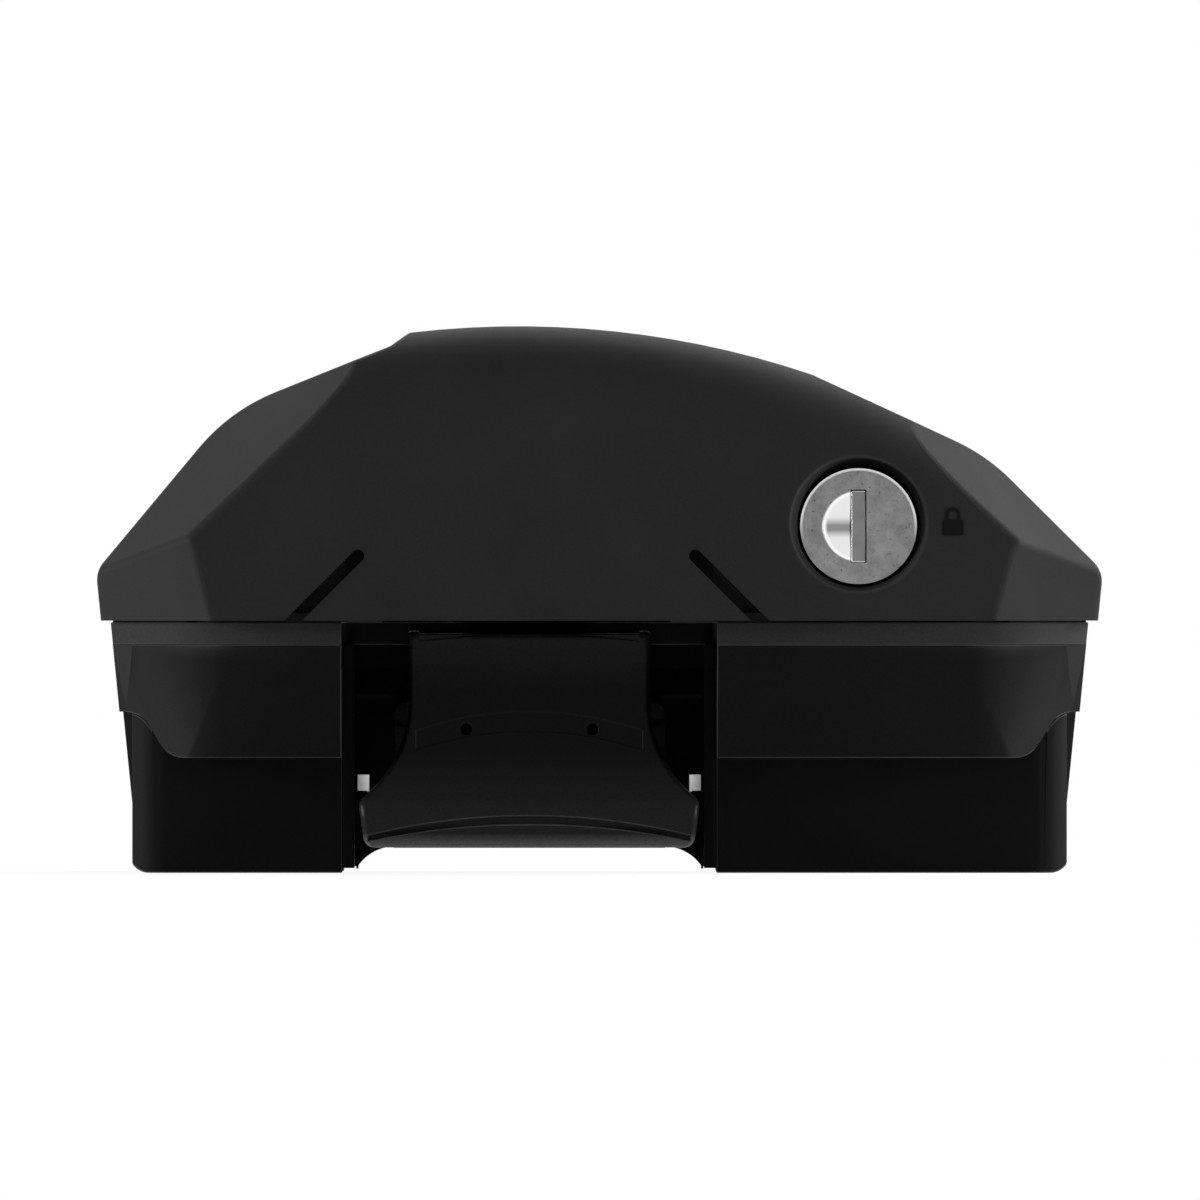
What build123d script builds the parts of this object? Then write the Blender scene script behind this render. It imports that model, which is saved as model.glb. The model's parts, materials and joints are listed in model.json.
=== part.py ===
from build123d import *
import math
import os

# Roof bar foot for raised roof rails, in millimetres.
# X runs along the rail, Y from the outside of the car inwards, Z up from the soles.

# Rail room and legs
RAIL_HALF_WIDTH = 16.0
RAIL_ROOM_HEIGHT = 22.0
RAIL_PAD = 2.0
LEG_WALL = 3.2
LEG_ROOF = 1.6
LEG_END_INSET = 4.1
LEG_ROUND = 5.0
LEG_SOLE_ROUND = 2.5
PAD_SOLE_GAP = 1.0
PAD_END_GAP = 0.6
CHANNEL_ROUND = 3.0

# Jaw bay between the carrier's cheeks
BAY_CENTRE = -8.8
BAY_HALF = 21.9
CHEEK = 1.5
CHEEK_SOLE_GAP = 0.6

# Stack above the legs
PLATE = 3.0
DECK = 2.8
SEAM_GAP = 0.2
CARRIER_END_INSET = 8.1
CARRIER_REAR_INSET = 6.8
CARRIER_NOTCH = 6.0
CARRIER_LEDGE = 2.2
CARRIER_ROUND = 6.0
RUNNING_GAP = 0.4
FACE_GAP = 0.3
FIT = 0.1

# Cover: outline seen from the outside, haunches as distance in from the end and drop below the crown
HALF_LENGTH = 63.1
COVER_DEPTH = 72.0
COVER_WALL = 2.4
SHOULDER_RISE = 6.2
SIDE_DRAFT = 5.7
SHOULDER_ROUND = 3.5
HAUNCH_ROUND = 24.0
LEFT_HAUNCH = (16.75, 10.5)
RIGHT_HAUNCH = (14.55, 16.2)
LEFT_ROOF_ANGLE = 21.6
RIGHT_ROOF_ANGLE = 24.8
CROWN_STEP = 1.4
CROWN_STEP_ANGLE = 36.0
CROWN_STEP_ROUND = 1.5

# Cover: leaning face that rolls over the crown
LEAN = 7.0
CROWN_X = -10.2
CROWN_RISE = 36.9
CROWN_DROP = 26.4
ROLL_RADIUS = 12.0

# Cover: cut corners, as distance in from the end and rise above the seam, or drop of the brow below the crown
LEFT_KINK = (11.75, 10.6)
RIGHT_KINK = (11.15, 10.2)
LEFT_TOE = 14.45
RIGHT_TOE = 13.65
RIGHT_BROW = (32.5, 8.1)
LEFT_BROW_GAP = 0.4
LEFT_REAR_BROW_GAP = 4.0
CORNER_RUN_BACK = 14.0
REAR_RUN_BACK = 11.0
COVER_EDGE_ROUND = 1.5

# Cover: two slanted slots through the lower edge of the face, placed from the jaw bay's ends
SLOT_WIDTH = 1.6
SLOT_RISE = 8.1
LEFT_SLOT_INSET = 0.5
RIGHT_SLOT_INSET = 1.1
SLOT_ANGLE = 45.0

# Cover: opening for the bar, open below, placed in from the ends
BAR_LEFT_INSET = 18.1
BAR_RIGHT_INSET = 26.1
BAR_CROWN_GAP = 6.0
BAR_LEFT_RISE = 12.4
BAR_RIGHT_RISE = 14.4
SEAL = 1.6

# Housing
OVERHANG = 1.2
HOUSING_SETBACK = 2.6
PANEL_RECESS = 0.5
HOUSING_WALL = 2.4
CREASE_DROP = 5.7
UNDERCUT = 24.0
APRON_DROP = 17.0
APRON_END_DROP = 11.2
APRON_SWEEP = (11.3, 3.5)
NOTCH_ROUND = 3.0
LOCATOR = 1.6
LOCATOR_LAP = 3.0
RIM_WALL = 1.2
RIM_RISE = 1.2

# Jaw
JAW_PLATE = 3.0
JAW_LOW_HALF = 20.4
JAW_SHOULDER_HEIGHT = 11.2
JAW_EAR = (19.9, 21.5, 10.3, 12.3)
JAW_HIGH_HALF = 13.0
JAW_NECK_HALF = 7.0
JAW_SOLE_GAP = 3.1
LIP_REACH = 5.5
LIP_HALF = 17.0
BEND = 1.2
HOOK_BACK = 10.0
JAW_COVER_TOP = 30.3
JAW_COVER_HALF = 15.2
JAW_FLARE_TOP = 21.4
JAW_FLARE_FOOT = 9.0
JAW_FLARE_HALF = 21.4
JAW_COVER_SOLE = 3.2
JAW_COVER_SOLE_HALF = 20.6
JAW_COVER_THICK = 5.0
JAW_WAIST = 4.2
JAW_TOE = 8.0
JAW_CORNER_ROUND = 1.5
JAW_TOP_ROUND = 0.5
JAW_COVER_ROUND = 1.0
LIP_GROOVE = (20.2, 4.0, 4.75, 6.1, 7.2)
GROOVE_DEPTH = 0.8
WAIST_BAND = (14.2, 15.3, 17.8, 17.7, 20.2)
TOP_BAND = (13.8, 29.0, 31.0, 29.9, 31.5)
BAND_DEPTH = 0.3
JAW_PIN_HOLE = 1.5
JAW_PIN_SPACING = 15.8
JAW_PIN_HEIGHT = 18.0
JAW_PAD_FOOT = 8.0
JAW_PAD_TOP = 21.2
PAD_GROOVE = 0.9
PAD_GROOVE_PITCH = 3.4
PAD_GROOVE_SAG = 1.8

# Tension screw
SCREW_HEIGHT = 42.0
SCREW_DIAMETER = 6.0
SCREW_HEAD_DIAMETER = 10.0
SCREW_HEAD = 6.0
HEX_SOCKET = 5.0
HEX_DEPTH = 3.0
SCREW_TIP_GAP = 2.0
SCREW_CLEARANCE = 0.3
THREAD_CLEARANCE = 0.15
WASHER_DIAMETER = 11.5
WASHER = 1.2
NUT_WIDTH = 10.0
NUT = 5.0
LUG_WALL = 3.0
LUG_RISE = 19.4
NUT_FACE = -1.0

# Rear claw
CLAW_PLATE = 3.0
CLAW_FLANGE = 9.5
CLAW_SIDE_GAP = 0.05
CLAW_FOOT_GAP = 0.3
CLAW_PAD_HALF = 17.0

# Bar seat and T plate
SEAT_REAR_INSET = 3.0
SEAT_DEPTH = 20.0
SEAT_LEFT_GAP = 7.0
SEAT_RIGHT_GAP = 9.0
SEAT = 4.1
SEAT_CURL = 2.5
T_REAR_INSET = 3.5
T_DEPTH = 18.0
T_STEM_HALF = 4.0
T_HEAD_HALF = 8.0
T_STEM = 6.1
T_HEAD = 3.5
T_SCREW_INSET = 3.8

# Lock
LOCK_INSET = 30.7
LOCK_RISE = 12.1
LOCK_RECESS = 2.2
RECESS_RADIUS = 8.5
BORE_RADIUS = 7.7
BOSS_RADIUS = 9.3
BOSS_DEPTH = 9.5
PLUG_RADIUS = 7.3
PLUG_HEAD = 3.0
BARREL_RADIUS = 5.3
SLEEVE_RADIUS = 7.6
SLEEVE_DEPTH = 12.5
CLIP = 1.0
CLIP_GROOVE = 0.8
CLIP_RADIUS = 9.0
TAIL_RADIUS = 4.0
TAIL_DEPTH = 17.0
TAIL_SQUARE = 4.0
CAM = 2.0
CAM_REACH = 8.5
CAM_HUB = 4.2
CAM_TIP_HALF = 2.4
KEY_SLOT = (2.0, 9.2)
KEY_SLOT_DEPTH = 9.0
SCOOP_RADIUS = 4.6
SCOOP_DEPTH = 1.2
SHUTTER = 0.4
SHUTTER_INSET = 0.3
STRIKE = 1.2
STRIKE_BEND = 1.0
STRIKE_REACH = 6.0
STRIKE_RISE = 4.1
STRIKE_HALF = 3.0

# Fasteners: shank diameter, head diameter, key width
M3 = (3.0, 5.6, 2.0)
M4 = (4.0, 7.5, 2.5)
M5 = (5.0, 9.2, 3.0)
KEY_DEPTH = 1.2
LEG_SCREW_LENGTH = 10.0
JAW_SCREW_LENGTH = 6.0
JAW_SCREW_SPACING = 18.0
JAW_SCREW_HEIGHT = 26.0
CLAW_SCREW_SPACING = 26.0
DECK_SCREW_INSET = 17.1
DECK_SCREW_Y = 13.0
CAM_SCREW = (2.5, 7.0, 1.6)
CAM_SCREW_LENGTH = 5.0

# Levels and depths that follow
CHANNEL_HALF = RAIL_HALF_WIDTH + RAIL_PAD
CHANNEL_TOP = RAIL_ROOM_HEIGHT + RAIL_PAD
LEG_HALF_DEPTH = CHANNEL_HALF + LEG_WALL
LEG_TOP = CHANNEL_TOP + LEG_ROOF
PLATE_TOP = LEG_TOP + PLATE
DECK_TOP = PLATE_TOP + DECK
SEAM = DECK_TOP + SEAM_GAP
FRONT = -COVER_DEPTH / 2
REAR = COVER_DEPTH / 2
CROWN = SEAM + CROWN_RISE
CROWN_RADIUS = ((HALF_LENGTH - CROWN_X) ** 2 + CROWN_DROP ** 2) / (2 * CROWN_DROP)
CROWN_AXIS_Z = CROWN - CROWN_RADIUS
BAY_LEFT = BAY_CENTRE - BAY_HALF
BAY_RIGHT = BAY_CENTRE + BAY_HALF
JAW_BACK = -CHANNEL_HALF
JAW_FRONT = JAW_BACK - JAW_PLATE
HOOK_LEG_Z = DECK_TOP + FACE_GAP
HOOK_ARM_FRONT = -HOOK_BACK - JAW_PLATE
WASHER_FRONT = HOOK_ARM_FRONT - WASHER
LOCK_X = HALF_LENGTH - LOCK_INSET
LOCK_Z = SEAM + LOCK_RISE
NOTCH_Y = -CHANNEL_HALF + RUNNING_GAP
LEG_HALF_LENGTH = HALF_LENGTH - LEG_END_INSET
APRON_INSET = OVERHANG + PANEL_RECESS + HOUSING_WALL
CARRIER_HALF_LENGTH = HALF_LENGTH - CARRIER_END_INSET
DECK_SCREW_X = HALF_LENGTH - DECK_SCREW_INSET
LEFT_SLOT_X = BAY_LEFT + LEFT_SLOT_INSET
RIGHT_SLOT_X = BAY_RIGHT - RIGHT_SLOT_INSET
LOCATOR_RISE = SLOT_RISE + SLOT_WIDTH
BAR_LEFT = BAR_LEFT_INSET - HALF_LENGTH
BAR_RIGHT = HALF_LENGTH - BAR_RIGHT_INSET
SEAT_LEFT = BAR_LEFT + SEAT_LEFT_GAP
SEAT_RIGHT = BAR_RIGHT - SEAT_RIGHT_GAP
SEAT_REAR = REAR - SEAT_REAR_INSET
SEAT_FRONT = SEAT_REAR - SEAT_DEPTH
T_REAR = REAR - T_REAR_INSET
T_FRONT = T_REAR - T_DEPTH
SCREW_TIP = T_FRONT - SCREW_TIP_GAP


def slope(angle):
    """Rise per unit run of an angle in degrees."""
    return math.tan(math.radians(angle))


def along_x(sketch, x0, x1):
    """Prism of a Y-Z sketch between two X places."""
    return extrude(Plane.YZ.offset(x0) * sketch, x1 - x0, dir=(1, 0, 0))


def along_y(sketch, y0, y1):
    """Prism of an X-Z sketch between two Y places."""
    return extrude(Plane.XZ.offset(-y0) * sketch, y1 - y0, dir=(0, 1, 0))


def along_z(sketch, z0, z1):
    """Prism of an X-Y sketch between two heights."""
    return extrude(Plane.XY.offset(z0) * sketch, z1 - z0, dir=(0, 0, 1))


def block(x0, x1, y0, y1, z0, z1):
    """Box between two opposite corners."""
    return Pos((x0 + x1) / 2, (y0 + y1) / 2, (z0 + z1) / 2) * Box(x1 - x0, y1 - y0, z1 - z0)


def polygon(*points):
    """Closed outline through the points, always turned to face the same way."""
    turns = zip(points, points[1:] + points[:1])
    area = sum(a[0] * b[1] - b[0] * a[1] for a, b in turns)
    ordered = points if area > 0 else points[::-1]
    return Polygon(*ordered, align=None)


def window(a0, a1, b0, b1):
    """Rectangle between two opposite corners."""
    return polygon((a0, b0), (a1, b0), (a1, b1), (a0, b1))


def rounded(sketch, radius, *points):
    """The sketch with the corners nearest the points rounded."""
    for point in points:
        corner = sketch.vertices().sort_by_distance((point[0], point[1], 0))[0]
        sketch = fillet(corner, radius)
    return sketch


def rod(radius, x, z, y0, y1):
    """Cylinder along Y."""
    return along_y(Pos(x, z) * Circle(radius), y0, y1)


def post(radius, x, y, z0, z1):
    """Cylinder along Z."""
    return along_z(Pos(x, y) * Circle(radius), z0, z1)


def flat_screw(size, length):
    """Countersunk socket screw, head face at the origin, shank down -Z."""
    shank, head = size[0] / 2, size[1] / 2
    half = polygon((0, 0), (head, 0), (shank, shank - head), (shank, -length), (0, -length))
    socket = RegularPolygon(size[2] / 2, 6, major_radius=False)
    return revolve(Plane.XZ * half, Axis.Z) - along_z(socket, -KEY_DEPTH, 0)


def flat_screw_hole(size, length):
    """Room for a countersunk screw, a little wider than the screw all round."""
    shank, head = size[0] / 2 + FIT, size[1] / 2 + FIT
    half = polygon((0, FIT), (head, FIT), (head, 0), (shank, shank - head), (shank, -length), (0, -length))
    return revolve(Plane.XZ * half, Axis.Z)


def end_x(side, inset):
    """X of a place measured in from the left end (-1) or the right end (1)."""
    return side * (HALF_LENGTH - inset)


def left_roof(x):
    """Height of the left roof line."""
    return CROWN - LEFT_HAUNCH[1] + (x - end_x(-1, LEFT_HAUNCH[0])) * slope(LEFT_ROOF_ANGLE)


def crown_step():
    """Foot of the small step where the left roof line stops, so far below the crown's arc."""
    rise = slope(LEFT_ROOF_ANGLE)
    drop = CROWN_AXIS_Z - left_roof(CROWN_X) - CROWN_STEP
    along = rise * drop / (1 + rise ** 2)
    reach = (drop ** 2 - CROWN_RADIUS ** 2) / (1 + rise ** 2)
    x = CROWN_X + along + math.sqrt(along ** 2 - reach)
    return x, left_roof(x)


def arch_outline(inset, bottom):
    """The foot seen from the outside: drafted ends, steep flanks, a stepped roof and a plain one."""
    shoulder = SEAM + SHOULDER_RISE
    foot_in = (shoulder - bottom) * slope(SIDE_DRAFT)
    left = (end_x(-1, LEFT_HAUNCH[0]), CROWN - LEFT_HAUNCH[1])
    right = (end_x(1, RIGHT_HAUNCH[0]), CROWN - RIGHT_HAUNCH[1])
    step = crown_step()
    left_rise = slope(CROWN_STEP_ANGLE)
    right_rise = slope(RIGHT_ROOF_ANGLE)
    ridge_x = (right[1] - step[1] + step[0] * left_rise + right[0] * right_rise) / (left_rise + right_rise)
    ridge = (ridge_x, step[1] + (ridge_x - step[0]) * left_rise)
    left_end = (-HALF_LENGTH, shoulder)
    right_end = (HALF_LENGTH, shoulder)
    feet = (end_x(-1, foot_in), bottom), (end_x(1, foot_in), bottom)
    outline = polygon(feet[0], left_end, left, step, ridge, right, right_end, feet[1])
    outline = rounded(outline, HAUNCH_ROUND, left, right)
    outline = rounded(outline, CROWN_STEP_ROUND, step)
    outline = rounded(outline, SHOULDER_ROUND, left_end, right_end)
    if inset:
        outline = offset(outline, -inset, kind=Kind.INTERSECTION)
    return outline


def face_y(x, z):
    """Depth of the cover's leaning face, a shallow cone about the crown's axis."""
    radius = math.hypot(x - CROWN_X, z - CROWN_AXIS_Z)
    return FRONT + (radius - SEAM + CROWN_AXIS_Z) * slope(LEAN)


def rear_y(x, z):
    """Depth of the cover's upright rear face."""
    return REAR


def face_form(inset):
    """Everything behind the leaning face and under the crown that it rolls into."""
    low, high = CROWN_RADIUS / 2, CROWN_RADIUS - inset
    back = REAR + COVER_DEPTH
    push = inset / math.cos(math.radians(LEAN))
    low_front = (face_y(CROWN_X, CROWN_AXIS_Z + low) + push, CROWN_AXIS_Z + low)
    high_front = (face_y(CROWN_X, CROWN_AXIS_Z + high) + push, CROWN_AXIS_Z + high)
    section = polygon((back, CROWN_AXIS_Z + low), low_front, high_front, (back, CROWN_AXIS_Z + high))
    section = rounded(section, ROLL_RADIUS - inset, high_front)
    return revolve(Plane.YZ.offset(CROWN_X) * section, Axis((CROWN_X, 0, CROWN_AXIS_Z), (0, 1, 0)))


def plane_through(points, inset):
    """Plane through three points, facing out of the foot and moved in by the inset."""
    a, b, c = [Vector(*point) for point in points]
    outward = (b - a).cross(c - a).normalized()
    if outward.dot(Vector(0, 0, SEAM) - a) > 0:
        outward = -outward
    return Plane(origin=a - outward * inset, z_dir=outward)


def brow(side, gap):
    """Upper end of a corner's cut: short of the crown's step on the left, on the plain roof on the right."""
    if side > 0:
        return end_x(1, RIGHT_BROW[0]), CROWN - RIGHT_BROW[1]
    x = crown_step()[0] - gap
    return x, left_roof(x)


def corner_planes(inset):
    """The two facets that cut each of the cover's four corners, above and below its kink."""
    planes = []
    for side, kink, toe in ((-1, LEFT_KINK, LEFT_TOE), (1, RIGHT_KINK, RIGHT_TOE)):
        kink_at = (end_x(side, kink[0]), SEAM + kink[1])
        toe_at = (end_x(side, toe), SEAM)
        front = (face_y, FRONT + CORNER_RUN_BACK, brow(side, LEFT_BROW_GAP))
        rear = (rear_y, REAR - REAR_RUN_BACK, brow(side, LEFT_REAR_BROW_GAP))
        for depth, end_y, brow_at in (front, rear):
            shoulder = (end_x(side, 0), end_y, SEAM + SHOULDER_RISE)
            for far in (brow_at, toe_at):
                corner = [(x, depth(x, z), z) for x, z in (kink_at, far)]
                planes.append(plane_through([*corner, shoulder], inset))
    return planes


def trimmed(body, planes):
    """The part of a body that lies inside all the planes."""
    for plane in planes:
        body = split(body, plane, keep=Keep.BOTTOM)
    return body


def cover_form(inset, bottom):
    """Solid form of the cover, moved in all round by the inset and open to any depth below."""
    arch = along_y(arch_outline(inset, bottom), FRONT - ROLL_RADIUS, REAR - inset)
    return trimmed(arch & face_form(inset), corner_planes(inset))


def bar_outline(inset):
    """The opening that the bar passes, blunt to the left and drawn out to the right."""
    foot = SEAM - DECK - SEAL
    crown = (CROWN_X, CROWN - BAR_CROWN_GAP)
    left = (BAR_LEFT, SEAM + BAR_LEFT_RISE)
    right = (BAR_RIGHT, SEAM + BAR_RIGHT_RISE)
    over_left = TangentArc(crown, left, tangent=(-1, 0))
    over_right = TangentArc(crown, right, tangent=(1, 0))
    sides = Polyline(left, (BAR_LEFT, foot), (BAR_RIGHT, foot), right)
    outline = make_face(over_left + over_right + sides)
    if inset:
        outline = offset(outline, -inset, kind=Kind.INTERSECTION)
    return outline


def face_slot(x, side):
    """Slanted slot with a round upper end, running out through the lower edge of the face."""
    length = 3 * SLOT_RISE
    angle = math.radians(SLOT_ANGLE)
    middle_x = x + side * math.cos(angle) * length / 2
    middle_z = SEAM + SLOT_RISE - math.sin(angle) * length / 2
    slot = Pos(middle_x, middle_z) * Rot(0, 0, -side * SLOT_ANGLE) * SlotCenterToCenter(length, SLOT_WIDTH)
    return along_y(slot, FRONT - ROLL_RADIUS, FRONT + ROLL_RADIUS)


def lock_frame():
    """Plane on the cover's face at the lock's centre, facing out along the lock's axis."""
    lean = math.radians(LEAN)
    centre = (LOCK_X, face_y(LOCK_X, LOCK_Z), LOCK_Z)
    return Plane(origin=centre, x_dir=(1, 0, 0), z_dir=(0, -math.cos(lean), math.sin(lean)))


def pin(radius, z0, z1):
    """Cylinder on the local Z axis."""
    return post(radius, 0, 0, z0, z1)


def front_cover():
    """Arched shell with a leaning face, cut corners, two slots and the lock's boss."""
    outer = cover_form(0, SEAM)
    upper_edges = outer.edges().filter_by(lambda edge: edge.center().Z > SEAM + FIT)
    outer = fillet(upper_edges, COVER_EDGE_ROUND)
    cover = outer - cover_form(COVER_WALL, SEAM - DECK)
    cover -= along_y(bar_outline(0), REAR - 2 * COVER_WALL, REAR + COVER_WALL)
    cover -= face_slot(LEFT_SLOT_X, -1)
    cover -= face_slot(RIGHT_SLOT_X, 1)
    cover += lock_frame() * pin(BOSS_RADIUS, -BOSS_DEPTH, -COVER_WALL / 2)
    flare = (RECESS_RADIUS - BORE_RADIUS) / LOCK_RECESS
    mouth = Cone(BORE_RADIUS, BORE_RADIUS + 2 * LOCK_RECESS * flare, 2 * LOCK_RECESS)
    cover -= lock_frame() * mouth
    cover -= lock_frame() * pin(BORE_RADIUS, -2 * BOSS_DEPTH, 0)
    return cover


def bar_seal():
    """Rubber edging of the bar's opening."""
    ring = along_y(bar_outline(FIT / 2) - bar_outline(SEAL), REAR - COVER_WALL, REAR)
    return split(ring, Plane.XY.offset(SEAM), keep=Keep.TOP)


def lock_plug():
    """Lock barrel: face disc with key slot and scoop, barrel, tail and square end."""
    face = -LOCK_RECESS
    plug = pin(PLUG_RADIUS, face - PLUG_HEAD, face)
    plug += pin(BARREL_RADIUS, -SLEEVE_DEPTH - FACE_GAP, face)
    plug += pin(TAIL_RADIUS, -TAIL_DEPTH, face - PLUG_HEAD)
    half_square = TAIL_SQUARE / 2
    plug += block(-half_square, half_square, -half_square, half_square, -TAIL_DEPTH - CAM, -TAIL_DEPTH)
    half_width, half_height = KEY_SLOT[0] / 2, KEY_SLOT[1] / 2
    plug -= block(-half_width, half_width, -half_height, half_height, face - KEY_SLOT_DEPTH, 0)
    ball = (SCOOP_RADIUS ** 2 + SCOOP_DEPTH ** 2) / (2 * SCOOP_DEPTH)
    scoop = Pos(0, 0, face + ball - SCOOP_DEPTH) * Sphere(ball)
    plug -= scoop & block(-PLUG_RADIUS, -half_width, -PLUG_RADIUS, PLUG_RADIUS, face - PLUG_HEAD, 0)
    plug -= pin(CAM_SCREW[0] / 2 + FIT / 2, -TAIL_DEPTH - CAM, CAM_SCREW_LENGTH - TAIL_DEPTH - CAM)
    return lock_frame() * plug


def lock_cam():
    """Cam on the barrel's square end: it points along the rail unlocked and down when locked."""
    front = -TAIL_DEPTH - FIT / 2
    tip_x = CAM_REACH - CAM_TIP_HALF
    outline = Circle(CAM_HUB) + window(0, tip_x, -CAM_TIP_HALF, CAM_TIP_HALF)
    outline += Pos(tip_x, 0) * Circle(CAM_TIP_HALF)
    outline -= Rectangle(TAIL_SQUARE + 2 * FIT, TAIL_SQUARE + 2 * FIT)
    return lock_frame() * along_z(outline, front - CAM, front)


def cam_screw():
    """Pan head screw that holds the cam on the barrel."""
    seat = -TAIL_DEPTH - CAM - FIT
    shank, head, height = CAM_SCREW
    screw = pin(head / 2, seat - height, seat)
    screw += pin(shank / 2, seat, seat + CAM_SCREW_LENGTH)
    return lock_frame() * screw


def lock_sleeve():
    """Fixed sleeve that the barrel turns in, held in the cover's boss by a spring clip."""
    front = -LOCK_RECESS - PLUG_HEAD - FACE_GAP
    sleeve = pin(SLEEVE_RADIUS, -SLEEVE_DEPTH, front) - pin(BARREL_RADIUS + FACE_GAP, -SLEEVE_DEPTH, front)
    groove = pin(SLEEVE_RADIUS, -BOSS_DEPTH - CLIP - FIT, -BOSS_DEPTH)
    groove -= pin(SLEEVE_RADIUS - CLIP_GROOVE, -BOSS_DEPTH - CLIP - FIT, -BOSS_DEPTH)
    return lock_frame() * (sleeve - groove)


def lock_clip():
    """Open spring clip in the sleeve's groove, against the boss."""
    ring = Circle(CLIP_RADIUS) - Circle(SLEEVE_RADIUS - CLIP_GROOVE + FIT / 2)
    ring -= window(-BARREL_RADIUS, BARREL_RADIUS, -CLIP_RADIUS, 0)
    return lock_frame() * along_z(ring, -BOSS_DEPTH - CLIP, -BOSS_DEPTH)


def key_shutter():
    """Dust flap in the key slot, hinged along its round right edge."""
    half_width, half_height = KEY_SLOT[0] / 2 - FIT, KEY_SLOT[1] / 2 - FIT
    top = -LOCK_RECESS - SHUTTER_INSET
    hinge = half_width - SHUTTER / 2
    section = window(-half_width, hinge, top - SHUTTER, top)
    section += Pos(hinge, top - SHUTTER / 2) * Circle(SHUTTER / 2)
    return lock_frame() * along_y(section, -half_height, half_height)


def cam_lock_y():
    """Depth of the cam's front corner when it points down."""
    lean = math.radians(LEAN)
    return face_y(LOCK_X, LOCK_Z) + TAIL_DEPTH * math.cos(lean) - CAM_REACH * math.sin(lean)


def strike_edges():
    """X limits and depths of the strike: left, right, back of the upright, front of the foot."""
    right = BAR_RIGHT - SEAL - RUNNING_GAP
    back = cam_lock_y() - RUNNING_GAP
    return right - 2 * STRIKE_HALF, right, back, back - STRIKE - STRIKE_REACH


def strike_screw_place():
    """Where the strike's screw goes through its foot."""
    left, right, back, front = strike_edges()
    return Pos((left + right) / 2, front + STRIKE_REACH / 2, DECK_TOP + STRIKE)


def lock_strike():
    """Steel angle on the deck that the cam turns behind."""
    left, right, back, front = strike_edges()
    section = polygon(
        (front, DECK_TOP),
        (back, DECK_TOP),
        (back, DECK_TOP + STRIKE_RISE),
        (back - STRIKE, DECK_TOP + STRIKE_RISE),
        (back - STRIKE, DECK_TOP + STRIKE),
        (front, DECK_TOP + STRIKE),
    )
    section = rounded(section, STRIKE_BEND, (back, DECK_TOP))
    return along_x(section, left, right) - strike_screw_place() * flat_screw_hole(M3, DECK)


def strike_screw():
    """Countersunk screw of the strike."""
    return strike_screw_place() * flat_screw(M3, STRIKE + DECK - FIT)


def channel_outline(inset):
    """The rail's room in the legs, seen along the rail."""
    half, top = CHANNEL_HALF - inset, CHANNEL_TOP - inset
    room = window(-half, half, -CHANNEL_TOP, top)
    return rounded(room, CHANNEL_ROUND, (-half, top), (half, top))


def leg_inner_x(side):
    """X of a leg's inner face, against the carrier's cheek."""
    return BAY_CENTRE + side * (BAY_HALF + CHEEK)


def leg_screw_places():
    """Two screws a leg, into its outer and inner walls."""
    places = []
    for side in (-1, 1):
        x = (leg_inner_x(side) + side * CARRIER_HALF_LENGTH) / 2
        for y in (-CHANNEL_HALF - LEG_WALL / 2, CHANNEL_HALF + LEG_WALL / 2):
            places.append(Pos(x, y, PLATE_TOP))
    return places


def leg_block(side):
    """Leg that straddles the rail, stepped in where the housing's apron hangs over it."""
    inner, outer = leg_inner_x(side), side * LEG_HALF_LENGTH
    sides = -LEG_HALF_DEPTH, LEG_HALF_DEPTH
    plan = rounded(window(inner, outer, *sides), LEG_ROUND, *[(outer, y) for y in sides])
    elevation = rounded(window(inner, outer, 0, LEG_TOP), LEG_SOLE_ROUND, (outer, 0))
    leg = along_z(plan, 0, LEG_TOP) & along_y(elevation, *sides)
    leg -= apron(FIT)
    leg -= along_x(channel_outline(0), -HALF_LENGTH, HALF_LENGTH)
    for place in leg_screw_places():
        leg -= place * flat_screw_hole(M3, LEG_SCREW_LENGTH)
    return leg


def rail_pad(side):
    """Rubber lining of one leg's channel."""
    inner = leg_inner_x(side) + side * PAD_END_GAP
    outer = side * (LEG_HALF_LENGTH - LEG_ROUND / 2)
    lining = channel_outline(FIT / 2) - channel_outline(RAIL_PAD)
    pad = along_x(lining, min(inner, outer), max(inner, outer))
    return split(pad, Plane.XY.offset(PAD_SOLE_GAP), keep=Keep.TOP)


def leg_screws():
    """Countersunk screws that hang the legs from the carrier."""
    return Compound(children=[place * flat_screw(M3, LEG_SCREW_LENGTH) for place in leg_screw_places()])


def deck_screw_places():
    """Four screws that hold the housing's deck to the carrier."""
    corners = [(x, y) for x in (-DECK_SCREW_X, DECK_SCREW_X) for y in (-DECK_SCREW_Y, DECK_SCREW_Y)]
    return [Pos(x, y, DECK_TOP) for x, y in corners]


def deck_screws():
    """Countersunk screws of the deck."""
    return Compound(children=[place * flat_screw(M4, DECK + PLATE) for place in deck_screw_places()])


def bar_screw_places():
    """Two screws under the T plate, heads down."""
    depths = (T_FRONT + T_SCREW_INSET, T_REAR - T_SCREW_INSET)
    return [Pos(BAY_CENTRE, y, LEG_TOP) * Rot(180, 0, 0) for y in depths]


def bar_screw_length():
    """From the carrier's underside to the middle of the T plate's head."""
    return PLATE + DECK + T_STEM + T_HEAD / 2


def bar_plate_screws():
    """Countersunk screws that hold the T plate and the bar seat down."""
    return Compound(children=[place * flat_screw(M5, bar_screw_length()) for place in bar_screw_places()])


def claw_screw_places():
    """Two screws up through the claw's flange, heads down."""
    y = CHANNEL_HALF - BEND - M4[1] / 2
    height = LEG_TOP - CLAW_PLATE
    spread = (-CLAW_SCREW_SPACING / 2, CLAW_SCREW_SPACING / 2)
    return [Pos(BAY_CENTRE + x, y, height) * Rot(180, 0, 0) for x in spread]


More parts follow.
